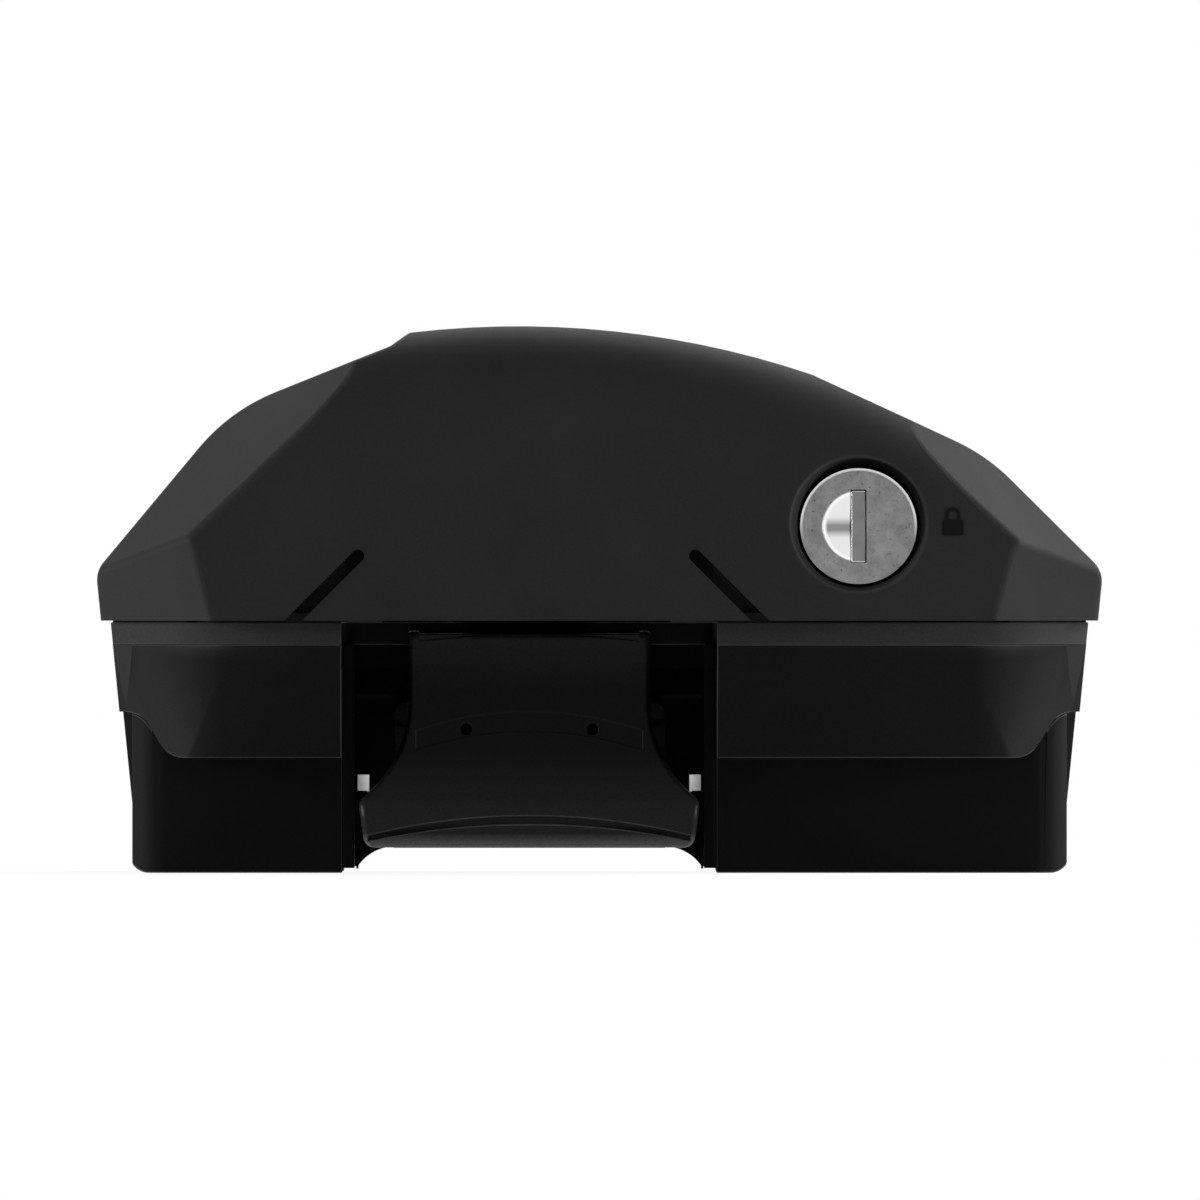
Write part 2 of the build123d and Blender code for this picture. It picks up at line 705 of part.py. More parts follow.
def claw_screws():
    """Countersunk screws of the rear claw."""
    return Compound(children=[place * flat_screw(M4, CLAW_PLATE + PLATE) for place in claw_screw_places()])


def nut_room(clearance):
    """The square nut's place in the carrier's lug."""
    half = NUT_WIDTH / 2
    return block(
        BAY_CENTRE - half - clearance,
        BAY_CENTRE + half + clearance,
        NUT_FACE - clearance,
        NUT_FACE + NUT + clearance,
        SCREW_HEIGHT - half,
        SCREW_HEIGHT + half + clearance,
    )


def lug_outline(clearance):
    """Plan of the lug that holds the nut."""
    half = NUT_WIDTH / 2 + LUG_WALL + clearance
    front, back = NUT_FACE - LUG_WALL - clearance, NUT_FACE + NUT + LUG_WALL + clearance
    return window(BAY_CENTRE - half, BAY_CENTRE + half, front, back)


def carrier_bracket():
    """Cast carrier: top plate, two cheeks beside the jaw bay and a lug with the nut's pocket."""
    half_depth = LEG_HALF_DEPTH + CARRIER_LEDGE
    plan = window(-CARRIER_HALF_LENGTH, CARRIER_HALF_LENGTH, -half_depth, half_depth)
    plan = fillet(plan.vertices(), CARRIER_ROUND)
    plan += window(BAY_LEFT, BAY_RIGHT, 0, REAR - CARRIER_REAR_INSET)
    plan -= window(BAY_LEFT, BAY_RIGHT, FRONT, NOTCH_Y + CARRIER_NOTCH)
    carrier = along_z(plan, LEG_TOP, PLATE_TOP) & housing_form(APRON_INSET + FIT, LEG_TOP, PLATE_TOP)
    cheek = window(-LEG_HALF_DEPTH, LEG_HALF_DEPTH, CHEEK_SOLE_GAP, PLATE_TOP) - channel_outline(0)
    carrier += along_x(cheek, BAY_LEFT - CHEEK, BAY_LEFT)
    carrier += along_x(cheek, BAY_RIGHT, BAY_RIGHT + CHEEK)
    carrier += along_z(lug_outline(0), PLATE_TOP, PLATE_TOP + LUG_RISE)
    carrier -= nut_room(FIT) + Pos(0, 0, NUT_WIDTH / 2) * nut_room(FIT)
    reach = NUT + 2 * LUG_WALL
    radius = SCREW_DIAMETER / 2 + SCREW_CLEARANCE
    carrier -= rod(radius, BAY_CENTRE, SCREW_HEIGHT, NUT_FACE - reach, NUT_FACE + reach)
    for place in leg_screw_places():
        carrier -= place * flat_screw_hole(M3, LEG_SCREW_LENGTH)
    for place in deck_screw_places():
        carrier -= place * flat_screw_hole(M4, DECK + 2 * PLATE)
    for place in bar_screw_places():
        carrier -= place * flat_screw_hole(M5, bar_screw_length())
    for place in claw_screw_places():
        carrier -= place * flat_screw_hole(M4, CLAW_PLATE + 2 * PLATE)
    return carrier


def tension_nut():
    """Square nut held in the carrier's lug."""
    radius = SCREW_DIAMETER / 2 + THREAD_CLEARANCE
    return nut_room(0) - rod(radius, BAY_CENTRE, SCREW_HEIGHT, NUT_FACE - NUT, NUT_FACE + 2 * NUT)


def claw_foot(edge, end):
    """Corner foot of the claw, its lower edge swept down from the lip to the end."""
    top = JAW_SOLE_GAP + 2 * (BEND + CLAW_PLATE)
    sweep = TangentArc((edge, JAW_SOLE_GAP), (end, CLAW_FOOT_GAP), tangent=(end - edge, 0))
    rest = Polyline((end, CLAW_FOOT_GAP), (end, top), (edge, top), (edge, JAW_SOLE_GAP))
    return along_y(make_face(sweep + rest), CHANNEL_HALF, CHANNEL_HALF + CLAW_PLATE)


def rear_claw():
    """Folded steel claw behind the rail: screwed flange, web, lip under the rail and two corner feet."""
    web, back = CHANNEL_HALF, CHANNEL_HALF + CLAW_PLATE
    flange, under = web - CLAW_FLANGE, LEG_TOP - CLAW_PLATE
    lip, lip_top = web - LIP_REACH, JAW_SOLE_GAP + CLAW_PLATE
    section = polygon(
        (back, LEG_TOP),
        (flange, LEG_TOP),
        (flange, under),
        (web, under),
        (web, lip_top),
        (lip, lip_top),
        (lip, JAW_SOLE_GAP),
        (back, JAW_SOLE_GAP),
    )
    outer = BEND + CLAW_PLATE
    section = rounded(section, outer, (back, LEG_TOP), (back, JAW_SOLE_GAP))
    section = rounded(section, BEND, (web, under), (web, lip_top))
    left, right = BAY_LEFT + CLAW_SIDE_GAP, BAY_RIGHT - CLAW_SIDE_GAP
    claw = along_x(section, left, right)
    for side, end in ((-1, left), (1, right)):
        edge = BAY_CENTRE + side * LIP_HALF
        claw -= block(min(end, edge), max(end, edge), lip, web, 0, lip_top + BEND)
        claw -= block(min(end, edge), max(end, edge), web, back, 0, JAW_SOLE_GAP + outer)
        claw += claw_foot(edge, end)
    for place in claw_screw_places():
        claw -= place * flat_screw_hole(M4, CLAW_PLATE + PLATE)
    return claw


def clamp_pad(half, plate_y, grip_y):
    """Rubber facing of a clamping plate, with sagging grooves across the face that grips the rail."""
    outline = window(BAY_CENTRE - half, BAY_CENTRE + half, JAW_PAD_FOOT, JAW_PAD_TOP)
    pad = along_y(fillet(outline.vertices(), BEND), min(plate_y, grip_y), max(plate_y, grip_y))
    floor_y = (plate_y + grip_y) / 2
    high = JAW_PAD_TOP - PAD_GROOVE_PITCH / 2
    while high - PAD_GROOVE - PAD_GROOVE_SAG > JAW_PAD_FOOT + PAD_GROOVE:
        low = high - PAD_GROOVE
        groove = arched_band(half + BEND, low, high, low - PAD_GROOVE_SAG, high - PAD_GROOVE_SAG)
        pad -= along_y(groove, min(floor_y, grip_y), max(floor_y, grip_y))
        high -= PAD_GROOVE_PITCH
    return pad


def rear_claw_pad():
    """Rubber facing of the rear claw."""
    return clamp_pad(CLAW_PAD_HALF, CHANNEL_HALF, RAIL_HALF_WIDTH)


def jaw_pad():
    """Rubber facing of the moving jaw."""
    return clamp_pad(JAW_HIGH_HALF, -CHANNEL_HALF, -RAIL_HALF_WIDTH)


def jaw_screw_places():
    """Two screws from the rail's side through the jaw plate into its cover."""
    spread = (-JAW_SCREW_SPACING / 2, JAW_SCREW_SPACING / 2)
    return [Pos(BAY_CENTRE + x, JAW_BACK, JAW_SCREW_HEIGHT) * Rot(-90, 0, 0) for x in spread]


def jaw_screws():
    """Countersunk screws of the jaw cover."""
    return Compound(children=[place * flat_screw(M3, JAW_SCREW_LENGTH) for place in jaw_screw_places()])


def jaw_hook():
    """Folded steel jaw: lip under the rail, plate with guide ears, leg over the deck, arm on the screw."""
    lip, lip_top = JAW_BACK + LIP_REACH, JAW_SOLE_GAP + JAW_PLATE
    leg_top = HOOK_LEG_Z + JAW_PLATE
    arm_top = PLATE_TOP + LUG_RISE
    section = polygon(
        (JAW_FRONT, JAW_SOLE_GAP),
        (lip, JAW_SOLE_GAP),
        (lip, lip_top),
        (JAW_BACK, lip_top),
        (JAW_BACK, HOOK_LEG_Z),
        (-HOOK_BACK, HOOK_LEG_Z),
        (-HOOK_BACK, arm_top),
        (HOOK_ARM_FRONT, arm_top),
        (HOOK_ARM_FRONT, leg_top),
        (JAW_FRONT, leg_top),
    )
    outer = BEND + JAW_PLATE
    inside = (JAW_BACK, lip_top), (JAW_BACK, HOOK_LEG_Z), (HOOK_ARM_FRONT, leg_top)
    outside = (JAW_FRONT, JAW_SOLE_GAP), (-HOOK_BACK, HOOK_LEG_Z), (JAW_FRONT, leg_top)
    section = rounded(rounded(section, BEND, *inside), outer, *outside)
    strip = along_x(section, BAY_LEFT, BAY_RIGHT)
    outline = window(-JAW_LOW_HALF, JAW_LOW_HALF, 0, JAW_SHOULDER_HEIGHT)
    inner, tip, ear_low, ear_high = JAW_EAR
    outline += window(inner, tip, ear_low, ear_high) + window(-tip, -inner, ear_low, ear_high)
    outline += window(-JAW_HIGH_HALF, JAW_HIGH_HALF, 0, JAW_COVER_TOP)
    arm = window(-JAW_NECK_HALF, JAW_NECK_HALF, 0, arm_top)
    outline += rounded(arm, outer, (-JAW_NECK_HALF, arm_top), (JAW_NECK_HALF, arm_top))
    hook = strip & along_y(Pos(BAY_CENTRE, 0) * outline, FRONT, REAR)
    for side in (-1, 1):
        edge, end = BAY_CENTRE + side * LIP_HALF, BAY_CENTRE + side * (JAW_LOW_HALF + FIT)
        hook -= block(min(end, edge), max(end, edge), JAW_BACK, lip, 0, lip_top + BEND)
    hook -= rod(SCREW_DIAMETER / 2 + SCREW_CLEARANCE, BAY_CENTRE, SCREW_HEIGHT, HOOK_ARM_FRONT - WASHER, 0)
    for place in jaw_screw_places():
        hook -= place * flat_screw_hole(M3, JAW_SCREW_LENGTH)
    return hook


def jaw_section(inset):
    """Side of the jaw cover: hollow waist, toe pushed forward and lip curled under."""
    top_front = (JAW_FRONT - JAW_COVER_THICK, JAW_COVER_TOP)
    toe = (JAW_FRONT - JAW_TOE, JAW_FLARE_FOOT)
    waist = (JAW_FRONT - JAW_WAIST, (JAW_COVER_TOP + JAW_FLARE_FOOT) / 2)
    sole_front = (JAW_FRONT - JAW_PLATE, JAW_COVER_SOLE)
    front = ThreePointArc(top_front, waist, toe)
    lip = TangentArc(toe, sole_front, tangent=front % 1)
    back = Polyline(sole_front, (JAW_FRONT, JAW_COVER_SOLE), (JAW_FRONT, JAW_COVER_TOP), top_front)
    section = make_face(front + lip + back)
    if inset:
        section = offset(section, -inset, kind=Kind.INTERSECTION)
    return section


def jaw_outline():
    """Front of the jaw cover: straight above, flared out to the width of the bay below."""
    flare_top = (JAW_COVER_HALF, JAW_FLARE_TOP)
    flare_foot = (JAW_FLARE_HALF, JAW_FLARE_FOOT)
    above = Polyline((0, JAW_COVER_TOP), (JAW_COVER_HALF, JAW_COVER_TOP), flare_top)
    flare = TangentArc(flare_top, flare_foot, tangent=(0, -1))
    sole = (JAW_COVER_SOLE_HALF, JAW_COVER_SOLE)
    below = Polyline(flare_foot, sole, (0, JAW_COVER_SOLE), (0, JAW_COVER_TOP))
    half = make_face(above + flare + below)
    half = rounded(half, JAW_CORNER_ROUND, flare_foot, sole)
    half = rounded(half, JAW_TOP_ROUND, (JAW_COVER_HALF, JAW_COVER_TOP))
    return Pos(BAY_CENTRE, 0) * (half + mirror(half, Plane.YZ))


def arched_band(half, end_low, end_high, middle_low, middle_high):
    """Band across the jaw bay between two shallow arches."""
    low = ThreePointArc((-half, end_low), (0, middle_low), (half, end_low))
    high = ThreePointArc((-half, end_high), (0, middle_high), (half, end_high))
    ends = Line(low @ 0, high @ 0) + Line(low @ 1, high @ 1)
    return Pos(BAY_CENTRE, 0) * make_face(low + high + ends)


def jaw_edge_is_sharp(edge):
    """True for the rim of the jaw cover's front, apart from the seams where faces run on smoothly."""
    middle, span = edge.center(), (edge @ 1) - (edge @ 0)
    across = math.hypot(span.X, span.Z) > FIT
    at_toe = abs(middle.Z - JAW_FLARE_FOOT) < FIT and abs(middle.X - BAY_CENTRE) < FIT
    return middle.Y < JAW_FRONT - FIT and across and not at_toe


def jaw_cover():
    """Moulded cover of the jaw with its lip groove, two faint arched bands and two pin holes."""
    left, right = BAY_CENTRE - JAW_FLARE_HALF, BAY_CENTRE + JAW_FLARE_HALF
    cover = along_x(jaw_section(0), left, right) & along_y(jaw_outline(), FRONT, 0)
    cover = fillet(cover.edges().filter_by(jaw_edge_is_sharp), JAW_COVER_ROUND)
    for band, depth in ((LIP_GROOVE, GROOVE_DEPTH), (WAIST_BAND, BAND_DEPTH), (TOP_BAND, BAND_DEPTH)):
        cut = along_y(arched_band(*band), FRONT, JAW_FRONT)
        cover -= cut - along_x(jaw_section(depth), left, right)
    for side in (-1, 1):
        x = BAY_CENTRE + side * JAW_PIN_SPACING / 2
        cover -= rod(JAW_PIN_HOLE / 2, x, JAW_PIN_HEIGHT, FRONT, JAW_FRONT - JAW_WAIST / 2)
    for place in jaw_screw_places():
        cover -= place * flat_screw_hole(M3, JAW_SCREW_LENGTH)
    return cover


def thrust_washer():
    """Washer between the screw's head and the jaw's arm."""
    ring = Circle(WASHER_DIAMETER / 2) - Circle(SCREW_DIAMETER / 2 + SCREW_CLEARANCE)
    return along_y(Pos(BAY_CENTRE, SCREW_HEIGHT) * ring, WASHER_FRONT, HOOK_ARM_FRONT)


def tension_screw():
    """Socket head screw that draws the jaw towards the rail."""
    seat = WASHER_FRONT - FIT
    screw = rod(SCREW_HEAD_DIAMETER / 2, BAY_CENTRE, SCREW_HEIGHT, seat - SCREW_HEAD, seat)
    screw += rod(SCREW_DIAMETER / 2, BAY_CENTRE, SCREW_HEIGHT, seat, SCREW_TIP)
    socket = RegularPolygon(HEX_SOCKET / 2, 6, major_radius=False)
    front = seat - SCREW_HEAD
    screw -= along_y(Pos(BAY_CENTRE, SCREW_HEIGHT) * socket, front, front + HEX_DEPTH)
    return screw


def bar_seat():
    """Rubber saddle that the bar rests on, with a slot for the T plate's stem."""
    low, high = DECK_TOP, DECK_TOP + SEAT
    ends = (SEAT_LEFT, high + SEAT_CURL), (SEAT_RIGHT, high + SEAT_CURL)
    top = ThreePointArc(ends[0], ((SEAT_LEFT + SEAT_RIGHT) / 2, high), ends[1])
    sides = Polyline(ends[1], (SEAT_RIGHT, low), (SEAT_LEFT, low), ends[0])
    seat = along_y(make_face(top + sides), SEAT_FRONT, SEAT_REAR)
    stem = T_STEM_HALF + FIT
    seat -= block(BAY_CENTRE - stem, BAY_CENTRE + stem, T_FRONT - FIT, T_REAR + FIT, low, CROWN)
    return seat


def bar_t_plate():
    """T plate that slides in the bar's lower slot."""
    neck = DECK_TOP + T_STEM
    plate = block(BAY_CENTRE - T_STEM_HALF, BAY_CENTRE + T_STEM_HALF, T_FRONT, T_REAR, DECK_TOP, neck)
    head = window(BAY_CENTRE - T_HEAD_HALF, BAY_CENTRE + T_HEAD_HALF, T_FRONT, T_REAR)
    plate += along_z(fillet(head.vertices(), 2 * BEND), neck, neck + T_HEAD)
    for place in bar_screw_places():
        plate -= place * flat_screw_hole(M5, bar_screw_length())
    return plate


def housing_planes(inset):
    """Leaning faces, undercut aprons and cut corners of the housing."""
    depth = REAR - HOUSING_SETBACK + OVERHANG
    crease = DECK_TOP - CREASE_DROP
    crease_depth = depth + (SEAM - crease) * slope(LEAN)
    lean, under = math.radians(LEAN), math.radians(UNDERCUT)
    planes = corner_planes(inset)
    for side in (-1, 1):
        face_out = Vector(0, side * math.cos(lean), math.sin(lean))
        planes.append(Plane(Vector(0, side * depth, SEAM) - face_out * inset, z_dir=face_out))
        under_out = Vector(0, side * math.cos(under), -math.sin(under))
        planes.append(Plane(Vector(0, side * crease_depth, crease) - under_out * inset, z_dir=under_out))
    return planes


def housing_form(inset, low, high):
    """Solid form of the housing between two heights, moved in by the inset."""
    body = along_y(arch_outline(inset, -SEAM), FRONT, REAR)
    body &= block(-HALF_LENGTH, HALF_LENGTH, FRONT, REAR, low, high)
    return trimmed(body, housing_planes(inset))


def apron_edge(drop):
    """What is cut away under the aprons, lowered by the drop: level in front, swept up to the ends."""
    level, end = DECK_TOP - APRON_DROP - drop, DECK_TOP - APRON_END_DROP - drop
    inner, outer = [end_x(1, inset) for inset in APRON_SWEEP]
    wide = 2 * HALF_LENGTH
    left_sweep = Spline((-outer, end), (-inner, level), tangents=((1, 0), (1, 0)))
    right_sweep = Spline((inner, level), (outer, end), tangents=((1, 0), (1, 0)))
    middle = Line((-inner, level), (inner, level))
    rest = Polyline((outer, end), (wide, end), (wide, -SEAM), (-wide, -SEAM), (-wide, end), (-outer, end))
    return along_y(make_face(left_sweep + middle + right_sweep + rest), FRONT, REAR)


def apron(clearance):
    """The housing's aprons and end walls, thickened inwards and downwards by the clearance."""
    low = DECK_TOP - APRON_DROP - DECK
    walls = housing_form(OVERHANG + PANEL_RECESS, low, PLATE_TOP)
    walls -= housing_form(APRON_INSET + clearance, low - DECK, PLATE_TOP)
    return walls - apron_edge(clearance)


def deck_locators():
    """Two ribs on the deck just behind the cover's face, which close its slots and clear the lock."""
    ribs = []
    lock_room = lock_frame() * pin(BOSS_RADIUS + RUNNING_GAP, -2 * BOSS_DEPTH, BOSS_DEPTH)
    for x, side in ((LEFT_SLOT_X, -1), (RIGHT_SLOT_X, 1)):
        near = x - side * LOCATOR_LAP
        far = x + side * (SLOT_RISE / slope(SLOT_ANGLE) + LOCATOR_LAP)
        front = face_y(far, SEAM + LOCATOR_RISE) + COVER_WALL / math.cos(math.radians(LEAN)) + RUNNING_GAP
        ends = min(near, far), max(near, far)
        rib = block(*ends, front, front + LOCATOR, DECK_TOP, DECK_TOP + LOCATOR_RISE)
        ribs.append(rib - lock_room)
    return ribs


def deck_rim(bay):
    """Low rim on the deck, inside the cover's front and ends, open at the jaw's bay."""
    gap = COVER_WALL + FACE_GAP
    rim = cover_form(gap, PLATE_TOP - DECK) - cover_form(gap + RIM_WALL, PLATE_TOP - DECK)
    rim &= block(-HALF_LENGTH, HALF_LENGTH, FRONT, CHANNEL_HALF, DECK_TOP, DECK_TOP + RIM_RISE)
    return rim - along_z(bay, DECK_TOP, DECK_TOP + RIM_RISE)


def lower_housing():
    """Moulded deck with a proud rim, recessed aprons, the jaw's bay and the rail's way through."""
    housing = housing_form(OVERHANG, PLATE_TOP, DECK_TOP) + apron(0)
    cheek = CHEEK + FIT
    bay = window(BAY_LEFT - cheek, BAY_RIGHT + cheek, 2 * FRONT, NOTCH_Y)
    bay = rounded(bay, NOTCH_ROUND, (BAY_LEFT - cheek, NOTCH_Y), (BAY_RIGHT + cheek, NOTCH_Y))
    housing -= along_z(bay, 0, SEAM)
    housing -= along_x(channel_outline(0), -HALF_LENGTH, HALF_LENGTH)
    housing -= along_z(lug_outline(RUNNING_GAP), 0, SEAM)
    housing += deck_rim(bay)
    for rib in deck_locators():
        housing += rib
    for place in deck_screw_places():
        housing -= place * flat_screw_hole(M4, DECK + PLATE)
    for place in bar_screw_places():
        housing -= place * flat_screw_hole(M5, bar_screw_length())
    housing -= strike_screw_place() * flat_screw_hole(M3, STRIKE + DECK)
    return housing


PARTS = {
    "lower_housing": lower_housing(),
    "left_leg_block": leg_block(-1),
    "right_leg_block": leg_block(1),
    "left_rail_pad": rail_pad(-1),
    "right_rail_pad": rail_pad(1),
    "carrier_bracket": carrier_bracket(),
    "rear_claw": rear_claw(),
    "rear_claw_pad": rear_claw_pad(),
    "tension_nut": tension_nut(),
    "bar_seat": bar_seat(),
    "bar_t_plate": bar_t_plate(),
    "lock_strike": lock_strike(),
    "strike_screw": strike_screw(),
    "leg_screws": leg_screws(),
    "deck_screws": deck_screws(),
    "claw_screws": claw_screws(),
    "bar_plate_screws": bar_plate_screws(),
    "jaw_hook": jaw_hook(),
    "jaw_cover": jaw_cover(),
    "jaw_pad": jaw_pad(),
    "jaw_screws": jaw_screws(),
    "thrust_washer": thrust_washer(),
    "tension_screw": tension_screw(),
    "front_cover": front_cover(),
    "bar_seal": bar_seal(),
    "lock_sleeve": lock_sleeve(),
    "lock_clip": lock_clip(),
    "lock_plug": lock_plug(),
    "lock_cam": lock_cam(),
    "cam_screw": cam_screw(),
    "key_shutter": key_shutter(),
}

os.makedirs("parts", exist_ok=True)
for name, part in PARTS.items():
    export_step(part, f"parts/{name}.step")
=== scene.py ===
import json
import math

import bmesh
import bpy
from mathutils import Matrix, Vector
from mathutils.bvhtree import BVHTree

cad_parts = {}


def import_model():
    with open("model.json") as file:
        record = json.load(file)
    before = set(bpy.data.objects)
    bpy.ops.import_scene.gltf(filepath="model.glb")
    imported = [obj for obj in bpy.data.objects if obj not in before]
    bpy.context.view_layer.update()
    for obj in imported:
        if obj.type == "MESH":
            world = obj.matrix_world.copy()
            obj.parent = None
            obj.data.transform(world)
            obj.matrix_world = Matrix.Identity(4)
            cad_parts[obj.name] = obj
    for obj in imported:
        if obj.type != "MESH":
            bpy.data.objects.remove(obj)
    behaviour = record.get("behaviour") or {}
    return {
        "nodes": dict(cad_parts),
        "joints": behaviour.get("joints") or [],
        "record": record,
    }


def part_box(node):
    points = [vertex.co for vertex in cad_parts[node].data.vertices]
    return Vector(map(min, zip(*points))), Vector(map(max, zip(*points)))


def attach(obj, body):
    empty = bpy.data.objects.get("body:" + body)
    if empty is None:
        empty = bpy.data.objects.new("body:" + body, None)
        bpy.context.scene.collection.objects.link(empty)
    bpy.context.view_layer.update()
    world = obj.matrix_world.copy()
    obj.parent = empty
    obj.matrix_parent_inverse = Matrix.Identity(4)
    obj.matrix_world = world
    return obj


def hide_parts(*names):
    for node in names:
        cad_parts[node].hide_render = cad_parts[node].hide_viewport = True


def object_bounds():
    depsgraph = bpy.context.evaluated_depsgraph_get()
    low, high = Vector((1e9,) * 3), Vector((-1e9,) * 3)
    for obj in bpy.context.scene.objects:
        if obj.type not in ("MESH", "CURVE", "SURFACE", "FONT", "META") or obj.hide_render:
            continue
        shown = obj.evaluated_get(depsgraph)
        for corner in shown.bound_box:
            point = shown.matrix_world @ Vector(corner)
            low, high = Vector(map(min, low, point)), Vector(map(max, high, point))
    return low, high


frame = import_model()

cad_box = [list(corner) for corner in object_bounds()]
nodes = frame["nodes"]
joints = {joint["name"]: joint for joint in frame["joints"]}
slots = {part["node"]: part["material_slot"] for part in frame["record"]["subparts"]}
carried = frame["record"]["behaviour"]["bodies"]
bodies = {node: body for body, its_nodes in carried.items() for node in its_nodes}
bay_x = joints["screw_turn"]["pos_m"][0]
lock_z = joints["lock_turn"]["pos_m"][2]

scene = bpy.context.scene
scene.view_settings.view_transform = "Standard"

# Lengths are in metres
MM = 0.001
X, Z = 0, 2
WELD = 0.002 * MM

# A distance well outside the part, where rays on to its surface start
OUTSIDE = 0.2

# Lower housing: aprons below with painted light on their sides, a rim above them, and the jaw's bay between
# the legs
APRON_FOOT = 20.3 * MM
RIM_FOOT = 28.5 * MM
DECK = 31.4 * MM
BAY_HALF = 22.9 * MM
APRON_SIDES = (47.0 * MM, 51.0 * MM)

# Jaw: the two small holes with painted shade in them, and the ears of its hook beside the bay's cheeks
HOLE_OFFSET = 7.9 * MM
HOLE_HEIGHT = 18.0 * MM
HOLE_RIM = (0.70 * MM, 0.78 * MM)
EAR_START = 20.0 * MM
EAR_FOOT = 10.1 * MM

# Lock: shift of the recess's painted shade, and distances from the axis and depths along it, which place
# painted highlights, reflection and shade on the lock
RECESS_SHADE = (0.40 * MM, 0, 0.45 * MM)
RECESS_RIM = (7.75 * MM, 8.05 * MM)
RECESS_LIP = (8.3 * MM, 8.5 * MM, 8.6 * MM, 8.9 * MM)
PLUG_RIM = (6.95 * MM, 7.1 * MM)
BARREL_RIM = (5.5 * MM, 5.7 * MM)
FACE_DEPTH = (2.24 * MM, 2.34 * MM)
SCOOP_LIP = (2.40 * MM, 2.55 * MM)
SLOT_DEPTH = (3.7 * MM, 3.9 * MM)
SCOOP_BAND = 0.45 * MM

# Tension screw: M6 thread, whose profile gives shares of the pitch and offsets from the crest
THREAD_PITCH = 1.0 * MM
THREAD_HEIGHT = 0.54 * MM
THREAD_RADIUS = 2.98 * MM
THREAD_STEPS = 28
THREAD_PROFILE = (
    (0.0, -THREAD_HEIGHT),
    (0.14, -THREAD_HEIGHT),
    (0.44, 0.0),
    (0.56, 0.0),
    (0.86, -THREAD_HEIGHT),
)
SHAFT_MARGIN = 0.05 * MM

# Padlock sign: its place on the cover in millimetres, how far it stands out and how deep it is let in
PADLOCK_X = 44.2
PADLOCK_Z = 44.0
SIGN_PROUD = 0.08 * MM
SIGN_DEPTH = 0.25 * MM

# Eased edges, node by node: width, look and least angle in degrees; the looks are paler, a painted highlight
# along the edges
EASED = (
    ("left_leg_block", 0.2 * MM, "rubbed_edge", 32.0),
    ("right_leg_block", 0.2 * MM, "rubbed_edge", 32.0),
    ("lower_housing", 0.15 * MM, "rubbed_edge", 60.0),
    ("jaw_cover", 0.1 * MM, "jaw_edge", 32.0),
    ("key_shutter", 0.11 * MM, "bright_edge", 32.0),
)
FLAT_ANGLE = math.radians(0.2)
SMOOTH_ANGLE = math.radians(50)

# Ends of the housing: the border's inner plane and how far it stands out, and the fin on the leg's rear wall
END_START = 48 * MM
BORDER_TOP = 58.4 * MM
BORDER_FOOT = 59.4 * MM
BORDER_PROUD = 0.54 * MM
BORDER_LIFT = 0.15 * MM
LIFT_START = RIM_FOOT - 0.2 * MM
PLANE_MARGIN = 0.02 * MM
FIN_ROOT = 58.0 * MM
FIN_ROWS = ((6.0 * MM, 58.68 * MM), (20.6 * MM, 60.14 * MM))
FIN_FRONT = 18.05 * MM
FIN_REAR = 18.6 * MM
FIN_ROOT_REAR = 19.3 * MM

# Lip in the seam and coat in the claw's joint
LIP_HALF_LENGTH = 30.0 * MM
LIP_OUTER = 0.25 * MM
LIP_INNER = 1.1 * MM
LIP_STEPS = 60
LIP_SINK = 0.01 * MM
RIM_PROBE = DECK - 0.2 * MM
JOINT_OUTLINE = ((-0.05 * MM, 0.0), (-0.05 * MM, 0.2 * MM), (0.25 * MM, 0.0))

# Studio
FLOOR_HALF = 0.7
SHADOW_REACH = (0.08, 0.30)
SHADOW_SHARE = 0.88
AMBIENT = 0.24
AIM = (0, 0, 0.04)
LAMPS = (
    ("left_box", (-0.80, -0.12, 0.11), (0.5, 0.4), 9.5),
    ("right_box", (0.80, -0.10, 0.09), (0.5, 0.4), 9.0),
    ("right_back", (0.70, 0.42, 0.42), (0.4, 0.4), 9.0),
    ("top_box", (0, 0.70, 0.75), (0.9, 0.5), 5.0),
)

# Camera: level and straight on, from so far off that it shows hardly any perspective
SENSOR_WIDTH = 36.0
FRAME_WIDTH = 0.150
CAMERA_DISTANCE = 6.0
CAMERA_X = 0.00006
CAMERA_Z = 0.03419


